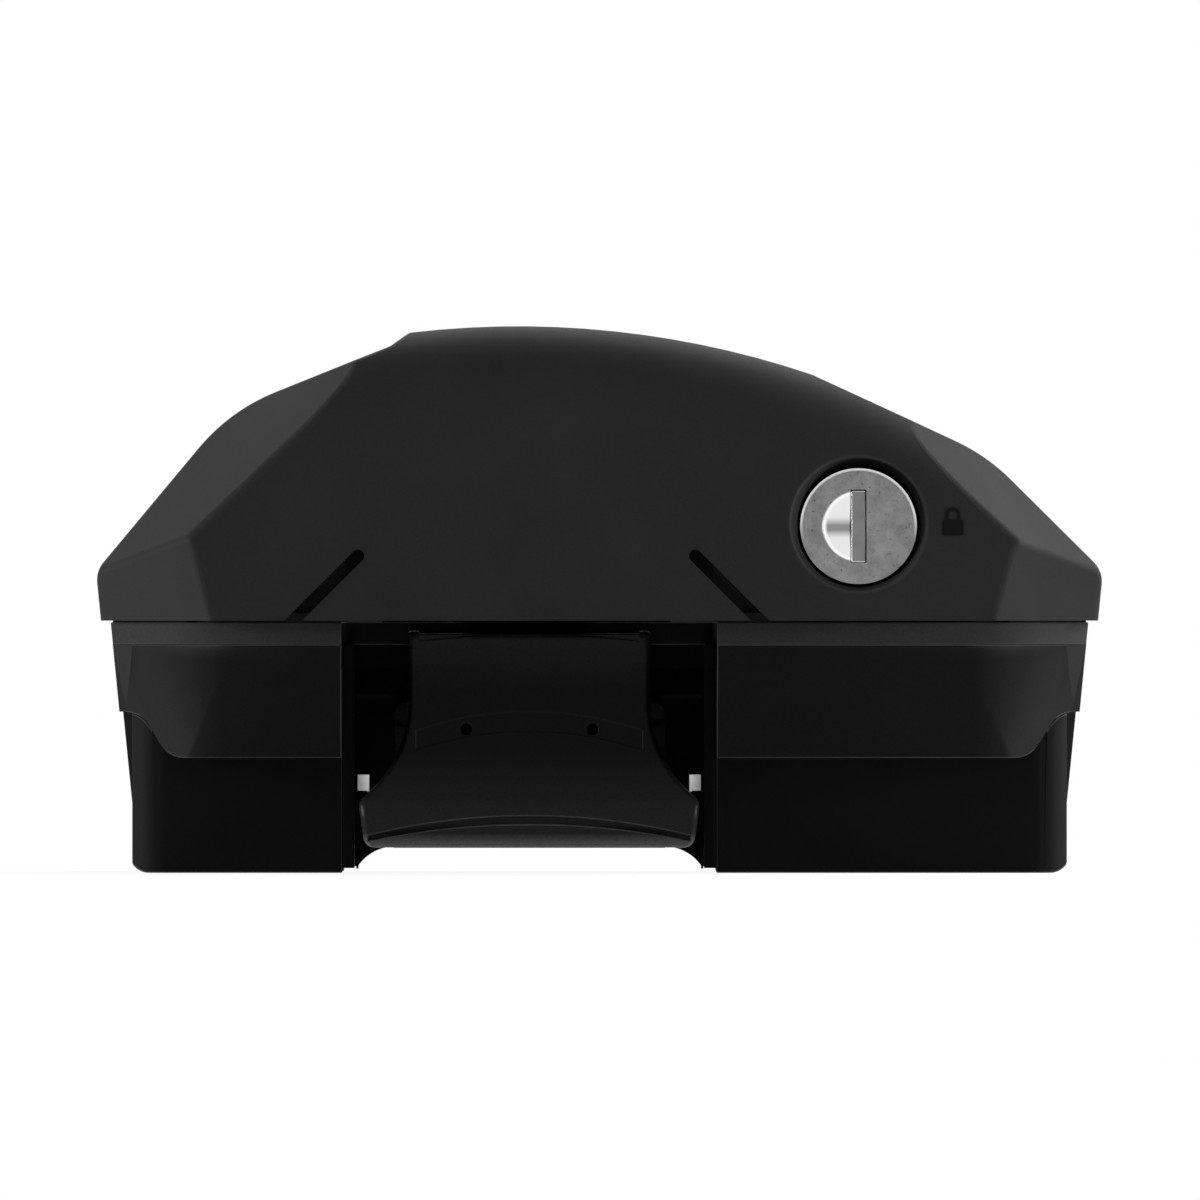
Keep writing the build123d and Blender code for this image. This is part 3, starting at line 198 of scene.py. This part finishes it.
class Material:
    """A node material on one Principled shader, with short calls for the nodes it uses."""

    SOCKETS = {
        "colour": "Base Color",
        "roughness": "Roughness",
        "metallic": "Metallic",
        "normal": "Normal",
        "specular": "Specular IOR Level",
    }

    def __init__(self, name):
        self.data = bpy.data.materials.new(name)
        self.data.use_nodes = True
        self.tree = self.data.node_tree
        self.shader = self.tree.nodes["Principled BSDF"]

    def add(self, kind, **settings):
        node = self.tree.nodes.new("ShaderNode" + kind)
        for key, value in settings.items():
            setattr(node, key, value)
        return node

    def put(self, socket, value):
        if isinstance(value, bpy.types.NodeSocket):
            self.tree.links.new(value, socket)
        else:
            socket.default_value = value

    def place(self):
        return self.add("TexCoord").outputs["Object"]

    def axis(self, index):
        node = self.add("SeparateXYZ")
        self.put(node.inputs[0], self.place())
        return node.outputs[index]

    def noise(self, size, detail=2.0, roughness=0.5):
        node = self.add("TexNoise")
        self.put(node.inputs["Vector"], self.place())
        node.inputs["Scale"].default_value = 1.0 / size
        node.inputs["Detail"].default_value = detail
        node.inputs["Roughness"].default_value = roughness
        return node.outputs["Fac"]

    def remap(self, value, low, high, to_low=0.0, to_high=1.0):
        node = self.add("MapRange")
        self.put(node.inputs["Value"], value)
        ends = {"From Min": low, "From Max": high, "To Min": to_low, "To Max": to_high}
        for key, number in ends.items():
            node.inputs[key].default_value = number
        return node.outputs["Result"]

    def within(self, value, low, high):
        """1 below the low end, falling to 0 at the high end."""
        return self.remap(value, low, high, 1.0, 0.0)

    def spread(self, noise, to_low=0.0, to_high=1.0, margin=0.3):
        """A noise stretched from where most of its values lie."""
        return self.remap(noise, margin, 1 - margin, to_low, to_high)

    def math(self, operation, a, b=0.0):
        node = self.add("Math", operation=operation)
        self.put(node.inputs[0], a)
        self.put(node.inputs[1], b)
        return node.outputs[0]

    def times(self, a, b):
        return self.math("MULTIPLY", a, b)

    def off(self, index, centre):
        """Distance from a plane across one axis."""
        return self.math("ABSOLUTE", self.math("SUBTRACT", self.axis(index), centre))

    def length(self, vector):
        node = self.add("VectorMath", operation="LENGTH")
        self.put(node.inputs[0], vector)
        return node.outputs["Value"]

    def blend(self, factor, a, b, kind="RGBA", clamp=True):
        node = self.add("Mix", data_type=kind)
        node.clamp_factor = clamp
        self.put(node.inputs["Factor"], factor)
        self.put(node.inputs["A"], a)
        self.put(node.inputs["B"], b)
        return node.outputs["Result"]

    def bump(self, height, depth):
        node = self.add("Bump")
        node.inputs["Distance"].default_value = depth
        self.put(node.inputs["Height"], height)
        return node.outputs["Normal"]

    def set(self, **values):
        for key, value in values.items():
            self.put(self.shader.inputs[self.SOCKETS[key]], value)
        return self.data


def grey(value):
    return (value, value, value, 1.0)


def from_lock(m, shift=(0, 0, 0)):
    """Distance from the lock's axis, or from a line shifted beside it, and depth along it."""
    joint = joints["lock_turn"]
    away = m.add("VectorMath", operation="SUBTRACT")
    m.put(away.inputs[0], m.place())
    away.inputs[1].default_value = Vector(joint["pos_m"]) + Vector(shift)
    results = []
    for operation, output in (("CROSS_PRODUCT", "Vector"), ("DOT_PRODUCT", "Value")):
        node = m.add("VectorMath", operation=operation)
        m.put(node.inputs[0], away.outputs[0])
        node.inputs[1].default_value = Vector(joint["axis"])
        results.append(node.outputs[output])
    return m.length(results[0]), results[1]


def grained(name, tone, roughness, specular, grain=0.3 * MM, depth=0.012 * MM, marks=None):
    """Moulded black plastic with a fine grain and faint clouds; marks may change the colour in places."""
    m = Material(name)
    fine = m.noise(grain, detail=3.0, roughness=0.65)
    cloud = m.noise(14 * MM)
    mottled = m.times(m.math("ADD", cloud, fine), 0.5)
    colour = m.blend(m.spread(mottled), grey(tone * 0.82), grey(tone * 1.18))
    if marks:
        colour = marks(m, colour)
    rough = m.spread(fine, roughness - 0.07, roughness + 0.07, margin=0.25)
    return m.set(colour=colour, roughness=rough, specular=specular, normal=m.bump(fine, depth))


def lock_recess(m, plain):
    """The cover's colour, with painted shade in the upper right of the lock's recess and a painted highlight
    along its lip.
    """
    reach = from_lock(m)[0]
    shaded = from_lock(m, RECESS_SHADE)[0]
    # Painted highlight: a pale band along the recess's lip; painted shade: dark in the upper right inside the
    # recess
    lip = m.times(m.remap(reach, *RECESS_LIP[:2]), m.within(reach, *RECESS_LIP[2:]))
    painted_highlight = m.blend(m.times(lip, 0.8), plain, grey(0.034))
    return m.blend(m.within(shaded, *RECESS_RIM), painted_highlight, grey(0.0012))


def housing_plastic():
    """Black plastic, paler and rougher on the rim, and with painted light making the sides of the aprons
    below it a little paler.
    """
    m = Material("housing_plastic")
    fine = m.noise(0.3 * MM, detail=3.0, roughness=0.65)
    high_up = m.remap(m.axis(Z), RIM_FOOT - 0.1 * MM, RIM_FOOT + 0.2 * MM)
    beside_bay = m.remap(m.off(X, bay_x), BAY_HALF, BAY_HALF + 0.1 * MM)
    rim = m.times(high_up, beside_bay)
    front = m.blend(m.spread(fine), grey(0.0043), grey(0.0063))
    # Painted light: a paler copy of the apron's colour on its sides, where more light falls
    side = m.blend(m.spread(fine), grey(0.0082), grey(0.0112))
    apron = m.blend(m.remap(m.off(X, 0.0), *APRON_SIDES), front, side)
    colour = m.blend(rim, apron, m.blend(m.spread(fine), grey(0.018), grey(0.026)))
    rough = m.remap(rim, 0.0, 1.0, 0.34, 0.6)
    return m.set(colour=colour, roughness=rough, specular=0.03, normal=m.bump(fine, 0.008 * MM))


def jaw_plastic():
    """Smooth black plastic, with painted highlights making it paler towards the jaw's head and most of all
    along its foot, and painted shade in its two small holes.
    """
    m = Material("jaw_plastic")
    fine = m.noise(0.4 * MM, detail=3.0, roughness=0.65)
    # Painted highlights: paler towards the head, along the lip and most of all along the foot
    head_highlight = m.remap(m.axis(Z), 23.0 * MM, 29.0 * MM, 0.0, 0.6)
    lip = m.remap(m.axis(Z), 5.0 * MM, 15.0 * MM, 0.95, 0.0)
    foot = m.remap(m.axis(Z), 3.3 * MM, 5.0 * MM, 8.0, 0.0)
    painted_highlight = m.math("ADD", m.math("ADD", head_highlight, lip), foot)
    uneven = m.times(painted_highlight, m.spread(fine, 0.8, 1.2, margin=0.2))
    colour = m.blend(uneven, grey(0.0030), grey(0.0150), clamp=False)
    from_hole = m.add("CombineXYZ")
    m.put(from_hole.inputs[X], m.math("SUBTRACT", m.off(X, bay_x), HOLE_OFFSET))
    m.put(from_hole.inputs[Z], m.math("SUBTRACT", m.axis(Z), HOLE_HEIGHT))
    # Painted shade in the two small holes
    hole_shade = m.within(m.length(from_hole.outputs[0]), *HOLE_RIM)
    rough = m.math("MAXIMUM", m.spread(fine, 0.24, 0.34, margin=0.25), hole_shade)
    return m.set(colour=m.blend(hole_shade, colour, grey(0.0005)), roughness=rough, specular=0.05,
                 normal=m.bump(fine, 0.004 * MM))


def jaw_edge():
    """Edges of the jaw's cover, with a faint painted highlight round its middle and a stronger painted
    highlight along its lower lip.
    """
    m = Material("jaw_edge")
    fine = m.noise(0.2 * MM)
    lip = m.times(m.within(m.axis(Z), 9.5 * MM, 12.0 * MM), m.spread(fine, 0.8, 1.2, margin=0.2))
    return m.set(colour=m.blend(lip, grey(0.010), grey(0.060)), roughness=0.40, specular=0.05)


def rubber():
    m = Material("rubber")
    fine = m.noise(0.5 * MM, detail=4.0)
    colour = m.blend(m.spread(fine), grey(0.006), grey(0.011))
    rough = m.spread(fine, 0.75, 0.92)
    return m.set(colour=colour, roughness=rough, specular=0.05, normal=m.bump(fine, 0.02 * MM))


def coated(name, tone, roughness, specular=0.05):
    """Metal with a black powder coat, whose orange peel shows in the gloss."""
    m = Material(name)
    peel = m.noise(0.9 * MM)
    colour = m.blend(m.spread(peel), grey(tone * 0.85), grey(tone * 1.15))
    rough = m.spread(peel, roughness - 0.06, roughness + 0.06)
    return m.set(colour=colour, roughness=rough, specular=specular, normal=m.bump(peel, 0.02 * MM))


def hook_coat():
    """Black coat of the jaw's hook, worn bare to the zinc on the ears that run along the cheeks, the bare
    zinc darker away from the bay as painted shade.
    """
    m = Material("hook_coat")
    peel = m.noise(0.9 * MM)
    off_bay = m.off(X, bay_x)
    outside = m.remap(off_bay, EAR_START, EAR_START + 0.1 * MM)
    ear = m.times(outside, m.remap(m.axis(Z), EAR_FOOT, EAR_FOOT + 0.2 * MM))
    worn = m.times(ear, m.remap(peel, 0.2, 0.3))
    # Painted shade: the bare zinc is paler near the bay and darker further out
    zinc_painted_shade = m.blend(m.remap(off_bay, EAR_START + 0.2 * MM, EAR_START + 1.4 * MM), grey(0.68), grey(0.30))
    return m.set(colour=m.blend(worn, grey(0.001), zinc_painted_shade), roughness=m.spread(peel, 0.40, 0.52),
                 metallic=worn, specular=0.01, normal=m.bump(peel, 0.02 * MM))


def zinc(name, tone, roughness):
    """Zinc plated steel: soft spangle and a fine roughness."""
    m = Material(name)
    spangle = m.noise(1.6 * MM, detail=3.0)
    fine = m.noise(0.12 * MM)
    colour = m.blend(m.spread(spangle), grey(tone * 0.85), grey(tone * 1.12))
    rough = m.spread(spangle, roughness - 0.06, roughness + 0.08)
    return m.set(colour=colour, roughness=rough, metallic=1.0, normal=m.bump(fine, 0.004 * MM))


def lock_zinc():
    """Die-cast lock face with dark pits, a painted highlight on its upper rim, a polished scoop with painted
    reflection and a painted highlight on its lip, and painted shade in the key slot.
    """
    m = Material("lock_zinc")
    reach, sunk = from_lock(m)
    inside = m.within(reach, *BARREL_RIM)
    scoop = m.times(m.remap(sunk, *FACE_DEPTH), inside)
    # Painted shade in the key slot
    slot = m.times(m.remap(sunk, *SLOT_DEPTH), inside)
    cloud = m.noise(2.2 * MM, detail=4.0, roughness=0.7)
    pits = m.remap(m.noise(0.5 * MM, detail=4.0, roughness=0.7), 0.60, 0.70)
    height = m.math("SUBTRACT", m.axis(Z), lock_z)
    # Painted highlight on the upper part of the plug's rim
    rim = m.times(m.remap(reach, *PLUG_RIM), m.remap(height, -2.0 * MM, 1.0 * MM))
    face = m.blend(m.spread(cloud), grey(0.155), grey(0.285))
    face = m.blend(pits, face, grey(0.05))
    face = m.blend(rim, face, grey(0.72))
    # Painted reflection: a dark band across the scoop, pale above and below it, and a painted highlight on
    # its lip
    from_band = m.math("ABSOLUTE", m.math("ADD", height, SCOOP_BAND))
    painted_reflection = m.blend(m.remap(from_band, 0.3 * MM, 1.3 * MM), grey(0.26), grey(0.80))
    painted_reflection = m.blend(m.within(sunk, *SCOOP_LIP), painted_reflection, grey(0.95))
    colour = m.blend(slot, m.blend(scoop, face, painted_reflection), grey(0.008))
    rough = m.blend(scoop, m.spread(cloud, 0.34, 0.5), 0.09, kind="FLOAT")
    return m.set(colour=colour, roughness=rough, metallic=1.0, normal=m.bump(cloud, 0.006 * MM))


def seen_white(tree):
    """1 for camera, glossy and transmission rays."""
    path = tree.nodes.new("ShaderNodeLightPath")
    value = path.outputs["Is Camera Ray"]
    for key in ("Is Glossy Ray", "Is Transmission Ray"):
        node = tree.nodes.new("ShaderNodeMath")
        node.operation = "MAXIMUM"
        tree.links.new(value, node.inputs[0])
        tree.links.new(path.outputs[key], node.inputs[1])
        value = node.outputs[0]
    return value


def floor_white():
    """Pale floor, white to the camera and in reflections, that keeps part of the shadow near its middle."""
    m = Material("floor_white")
    cloud = m.noise(0.2, detail=1.0)
    m.set(colour=m.blend(cloud, grey(0.90), grey(0.93)), roughness=0.9)
    glow = m.add("Emission")
    glow.inputs["Color"].default_value = grey(1.0)
    share = m.remap(m.length(m.place()), *SHADOW_REACH, SHADOW_SHARE, 1.0)
    mix = m.add("MixShader")
    m.put(mix.inputs[0], m.times(seen_white(m.tree), share))
    m.put(mix.inputs[1], m.shader.outputs[0])
    m.put(mix.inputs[2], glow.outputs[0])
    m.put(m.tree.nodes["Material Output"].inputs["Surface"], mix.outputs[0])
    return m.data


def new_object(name, data):
    item = bpy.data.objects.new(name, data)
    scene.collection.objects.link(item)
    return item


def new_mesh(name, verts, faces, material):
    mesh = bpy.data.meshes.new(name)
    mesh.from_pydata(verts, [], faces)
    mesh.validate()
    mesh.materials.append(material)
    return new_object(name, mesh)


def add_piece(name, bm, material, body):
    """A finished mesh as a piece of its own that rides a body."""
    bmesh.ops.recalc_face_normals(bm, faces=bm.faces)
    mesh = bpy.data.meshes.new(name)
    bm.to_mesh(mesh)
    bm.free()
    mesh.materials.append(material)
    piece = new_object(name, mesh)
    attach(piece, body)
    return piece


def mesh_of(name):
    """A copy of a node's mesh, to build on."""
    bm = bmesh.new()
    bm.from_mesh(nodes[name].data)
    return bm


def weld(bm, distance=WELD):
    bmesh.ops.remove_doubles(bm, verts=bm.verts, dist=distance)


def close_rows(bm, rows):
    """Faces between rows of points and over the first and the last row."""
    count = len(rows[0])
    for here, there in zip(rows, rows[1:]):
        for i in range(count):
            j = (i + 1) % count
            bm.faces.new((here[i], here[j], there[j], there[i]))
    bm.faces.new(rows[0])
    bm.faces.new(rows[-1])


def surface_of(name):
    """A node's own surface, to set small things on."""
    mesh = nodes[name].data
    return BVHTree.FromPolygons([v.co for v in mesh.vertices], [p.vertices for p in mesh.polygons])


def rounded_box(half_width, bottom, top, radius, steps=5):
    points = []
    right, left = half_width, -half_width
    corners = ((right, bottom, -90), (right, top, 0), (left, top, 90), (left, bottom, 180))
    for x, z, start in corners:
        cx = x - math.copysign(radius, x)
        cz = z + radius if z == bottom else z - radius
        for i in range(steps + 1):
            a = math.radians(start + 90 * i / steps)
            points.append((cx + radius * math.cos(a), cz + radius * math.sin(a)))
    return points


def shackle(radius, width, foot, spring, steps=14):
    """Arch of a padlock's shackle with two straight legs."""
    outer, inner = radius, radius - width
    turn = [math.pi * i / steps for i in range(steps + 1)]
    points = [(outer, foot)]
    points += [(outer * math.cos(a), spring + outer * math.sin(a)) for a in turn]
    points += [(-outer, foot), (-inner, foot)]
    points += [(-inner * math.cos(a), spring + inner * math.sin(a)) for a in turn]
    points += [(inner, foot)]
    return points


def sign(name, outlines, material):
    """Flat sign let into the cover's front: each outline is a closed run of x, z points in millimetres."""
    skin = surface_of("front_cover")
    verts, faces = [], []
    for outline in outlines:
        start, count = len(verts), len(outline)
        for off in (-SIGN_PROUD, SIGN_DEPTH):
            for x, z in outline:
                before = Vector(((PADLOCK_X + x) * MM, -OUTSIDE, (PADLOCK_Z + z) * MM))
                hit = skin.ray_cast(before, Vector((0, 1, 0)))[0]
                verts.append(hit + Vector((0, off, 0)))
        faces.append([start + i for i in range(count)])
        faces.append([start + count + i for i in reversed(range(count))])
        for i in range(count):
            j = (i + 1) % count
            faces.append([start + j, start + i, start + count + i, start + count + j])
    return new_mesh(name, verts, faces, material)


def padlock_sign():
    body = rounded_box(half_width=1.3, bottom=-1.75, top=0.25, radius=0.25)
    arch = shackle(radius=0.95, width=0.42, foot=0.3, spring=0.85)
    padlock = sign("padlock_sign", [body, arch], coated("engraved_black", 0.004, 0.5))
    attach(padlock, "cover")


def threaded_screw():
    """The tension screw with its thread: the head from its own node, and a helix in place of the shaft."""
    x, seat, z = joints["screw_turn"]["pos_m"]
    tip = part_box("tension_screw")[1][1]
    bm = mesh_of("tension_screw")
    shaft = [face for face in bm.faces if face.calc_center_median().y > seat + SHAFT_MARGIN]
    bmesh.ops.delete(bm, geom=shaft, context="FACES")
    turns = int((tip - seat) / THREAD_PITCH) + 2
    rows = []
    for i in range(THREAD_STEPS):
        a = 2 * math.pi * i / THREAD_STEPS
        row = []
        for turn in range(turns):
            for along, sunk in THREAD_PROFILE:
                y = seat + (turn - 1 + along + i / THREAD_STEPS) * THREAD_PITCH
                y = min(max(y, seat), tip)
                lead = min(1.0, (tip - y) / THREAD_PITCH)
                radius = THREAD_RADIUS - THREAD_HEIGHT + (THREAD_HEIGHT + sunk) * lead
                row.append(bm.verts.new((x + radius * math.cos(a), y, z + radius * math.sin(a))))
        rows.append(row)
    per_turn = len(THREAD_PROFILE)
    last = turns * per_turn
    for i in range(THREAD_STEPS):
        here, there = rows[i], rows[(i + 1) % THREAD_STEPS]
        shift = per_turn if i == THREAD_STEPS - 1 else 0
        for k in range(last - 1 - shift):
            bm.faces.new((here[k + shift], here[k + 1 + shift], there[k + 1], there[k]))
    bm.faces.new([row[-1] for row in rows])
    weld(bm, 0.001 * MM)
    piece = add_piece("tension_screw_threaded", bm, looks["zinc_steel"], "tension_screw")
    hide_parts("tension_screw")


def eased(name, width, edge_look, sharp):
    """A copy of a node in its place, with its sharp edges eased and given a second, paler look as a painted
    highlight.
    """
    bm = mesh_of(name)
    weld(bm)
    bmesh.ops.dissolve_limit(bm, angle_limit=FLAT_ANGLE, verts=bm.verts, edges=bm.edges)
    limit = math.radians(sharp)
    edges = [edge for edge in bm.edges if len(edge.link_faces) == 2 and edge.calc_face_angle() > limit]
    bmesh.ops.bevel(bm, geom=edges, offset=width, offset_type="OFFSET", segments=2, profile=0.5,
                    affect="EDGES", material=1)
    for face in bm.faces:
        face.smooth = True
    for edge in bm.edges:
        edge.smooth = len(edge.link_faces) == 2 and edge.calc_face_angle() < SMOOTH_ANGLE
    piece = add_piece(name + "_eased", bm, nodes[name].data.materials[0], bodies[name])
    piece.data.materials.append(looks[edge_look])
    piece.modifiers.new("face_normals", "WEIGHTED_NORMAL").keep_sharp = True
    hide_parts(name)


def end_frame(name, side):
    """Border that brings the end of the apron out to the rim, and a fin below it on the leg's rear wall."""
    bm = mesh_of("lower_housing")
    weld(bm)
    away = []
    for face in bm.faces:
        centre = face.calc_center_median()
        at_end = centre.x * side > END_START and APRON_FOOT < centre.z < RIM_FOOT
        if not (at_end and face.normal.x * side > 0.5):
            away.append(face)
    bmesh.ops.delete(bm, geom=away, context="FACES")
    top = Vector((side * BORDER_TOP, 0, RIM_FOOT))
    foot = Vector((side * BORDER_FOOT, 0, APRON_FOOT))
    across = (top - foot).cross(Vector((0, side, 0))).normalized()
    parts = bm.verts[:] + bm.edges[:] + bm.faces[:]
    bmesh.ops.bisect_plane(bm, geom=parts, plane_co=top, plane_no=across, clear_outer=True)
    grown = bmesh.ops.extrude_face_region(bm, geom=bm.faces[:], use_keep_orig=True)["geom"]
    for vert in grown:
        if not isinstance(vert, bmesh.types.BMVert):
            continue
        if abs((vert.co - top).dot(across)) > PLANE_MARGIN:
            vert.co.x += side * BORDER_PROUD
        if vert.co.z > LIFT_START:
            vert.co.z += BORDER_LIFT
    weld(bm)
    add_fin(bm, side)
    add_piece(name, bm, looks["rim_plastic"], "base")


def add_fin(bm, side):
    """Tapered fin on the end of the leg's rear wall, in line with the drafted end of the housing above it."""
    rows = []
    for z, tip in FIN_ROWS:
        corners = ((FIN_ROOT, FIN_FRONT), (tip, FIN_FRONT), (tip, FIN_REAR), (FIN_ROOT, FIN_ROOT_REAR))
        rows.append([bm.verts.new((side * x, y, z)) for x, y in corners])
    close_rows(bm, rows)


def seam_lip(name, side):
    """Low lip on the end of the rim that closes the seam under the cover against light from behind."""
    skin = surface_of("lower_housing")
    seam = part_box("front_cover")[0][2]
    section = ((LIP_OUTER, DECK), (LIP_INNER, DECK), (LIP_INNER, seam), (LIP_OUTER, seam))
    bm = bmesh.new()
    rows = []
    for i in range(LIP_STEPS + 1):
        y = LIP_HALF_LENGTH * (2 * i / LIP_STEPS - 1)
        edge = skin.ray_cast(Vector((side * OUTSIDE, y, RIM_PROBE)), Vector((-side, 0, 0)))[0].x
        rows.append([bm.verts.new((edge - side * inset, y, z - LIP_SINK)) for inset, z in section])
    close_rows(bm, rows)
    add_piece(name, bm, looks["leg_plastic"], "base")


def claw_joint_coat():
    """Black coat that bridges the hairline joints between the claw's edges and the carrier's cheeks."""
    low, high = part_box("rear_claw")
    bm = bmesh.new()
    for edge, inwards in ((low[0], 1), (high[0], -1)):
        rows = []
        for z in (low[2], high[2]):
            rows.append([bm.verts.new((edge + inwards * x, high[1] + y, z)) for x, y in JOINT_OUTLINE])
        close_rows(bm, rows)
    add_piece("claw_joint_coat", bm, looks["black_coat"], "base")


def world():
    """White to the camera and in reflections, and a weak even light otherwise."""
    data = bpy.data.worlds.new("studio")
    data.use_nodes = True
    scene.world = data
    tree = data.node_tree
    back = tree.nodes["Background"]
    back.inputs["Color"].default_value = grey(1.0)
    level = tree.nodes.new("ShaderNodeMapRange")
    tree.links.new(seen_white(tree), level.inputs["Value"])
    level.inputs["To Min"].default_value = AMBIENT
    level.inputs["To Max"].default_value = 1.0
    tree.links.new(level.outputs["Result"], back.inputs["Strength"])


def lamp(name, place, size, power):
    data = bpy.data.lights.new(name, "AREA")
    data.shape = "RECTANGLE"
    data.size, data.size_y = size
    data.energy = power
    item = new_object(name, data)
    item.location = place
    item.rotation_euler = (Vector(AIM) - Vector(place)).to_track_quat("-Z", "Y").to_euler()


# Looks, by material slot or by the names used below
looks = {
    "cover_plastic": grained("cover_plastic", 0.0188, 0.60, 0.035, depth=0.02 * MM, marks=lock_recess),
    "housing_plastic": housing_plastic(),
    "leg_plastic": grained("leg_plastic", 0.0044, 0.55, 0.03, grain=0.5 * MM),
    "jaw_plastic": jaw_plastic(),
    "rim_plastic": grained("rim_plastic", 0.022, 0.6, 0.03),
    # Paler looks for eased edges, painted highlights
    "rubbed_edge": grained("rubbed_edge", 0.030, 0.45, 0.06, grain=0.2 * MM),
    "jaw_edge": jaw_edge(),
    "bright_edge": zinc("bright_edge", 0.78, 0.25),
    "rubber": rubber(),
    "black_coat": coated("black_coat", 0.002, 0.45, specular=0.03),
    "hook_coat": hook_coat(),
    "zinc_steel": zinc("zinc_steel", 0.42, 0.40),
    "lock_zinc": lock_zinc(),
    "shutter_steel": zinc("shutter_steel", 0.20, 0.42),
    "cast_alloy": zinc("cast_alloy", 0.36, 0.55),
}
looks["screw_steel"] = looks["zinc_steel"]
own_look = {"carrier_bracket": "black_coat", "rear_claw": "black_coat", "jaw_hook": "hook_coat"}
for name, node in nodes.items():
    node.data.materials.clear()
    node.data.materials.append(looks[own_look.get(name, slots[name])])

# Pieces that dress the part
padlock_sign()
threaded_screw()
for settings in EASED:
    eased(*settings)
for name, side in (("left", -1), ("right", 1)):
    end_frame(name + "_end_frame", side)
    seam_lip(name + "_seam_lip", side)
claw_joint_coat()

# Floor and light
corners = [(-FLOOR_HALF, -FLOOR_HALF, 0), (FLOOR_HALF, -FLOOR_HALF, 0),
           (FLOOR_HALF, FLOOR_HALF, 0), (-FLOOR_HALF, FLOOR_HALF, 0)]
floor = new_mesh("floor", corners, [(0, 1, 2, 3)], floor_white())
world()
for settings in LAMPS:
    lamp(*settings)

# Camera
eye = bpy.data.cameras.new("camera")
eye.sensor_width = SENSOR_WIDTH
eye.lens = SENSOR_WIDTH * CAMERA_DISTANCE / FRAME_WIDTH
camera = new_object("camera", eye)
camera.location = (CAMERA_X, cad_box[0][1] - CAMERA_DISTANCE, CAMERA_Z)
camera.rotation_euler = (math.pi / 2, 0, 0)
scene.camera = camera
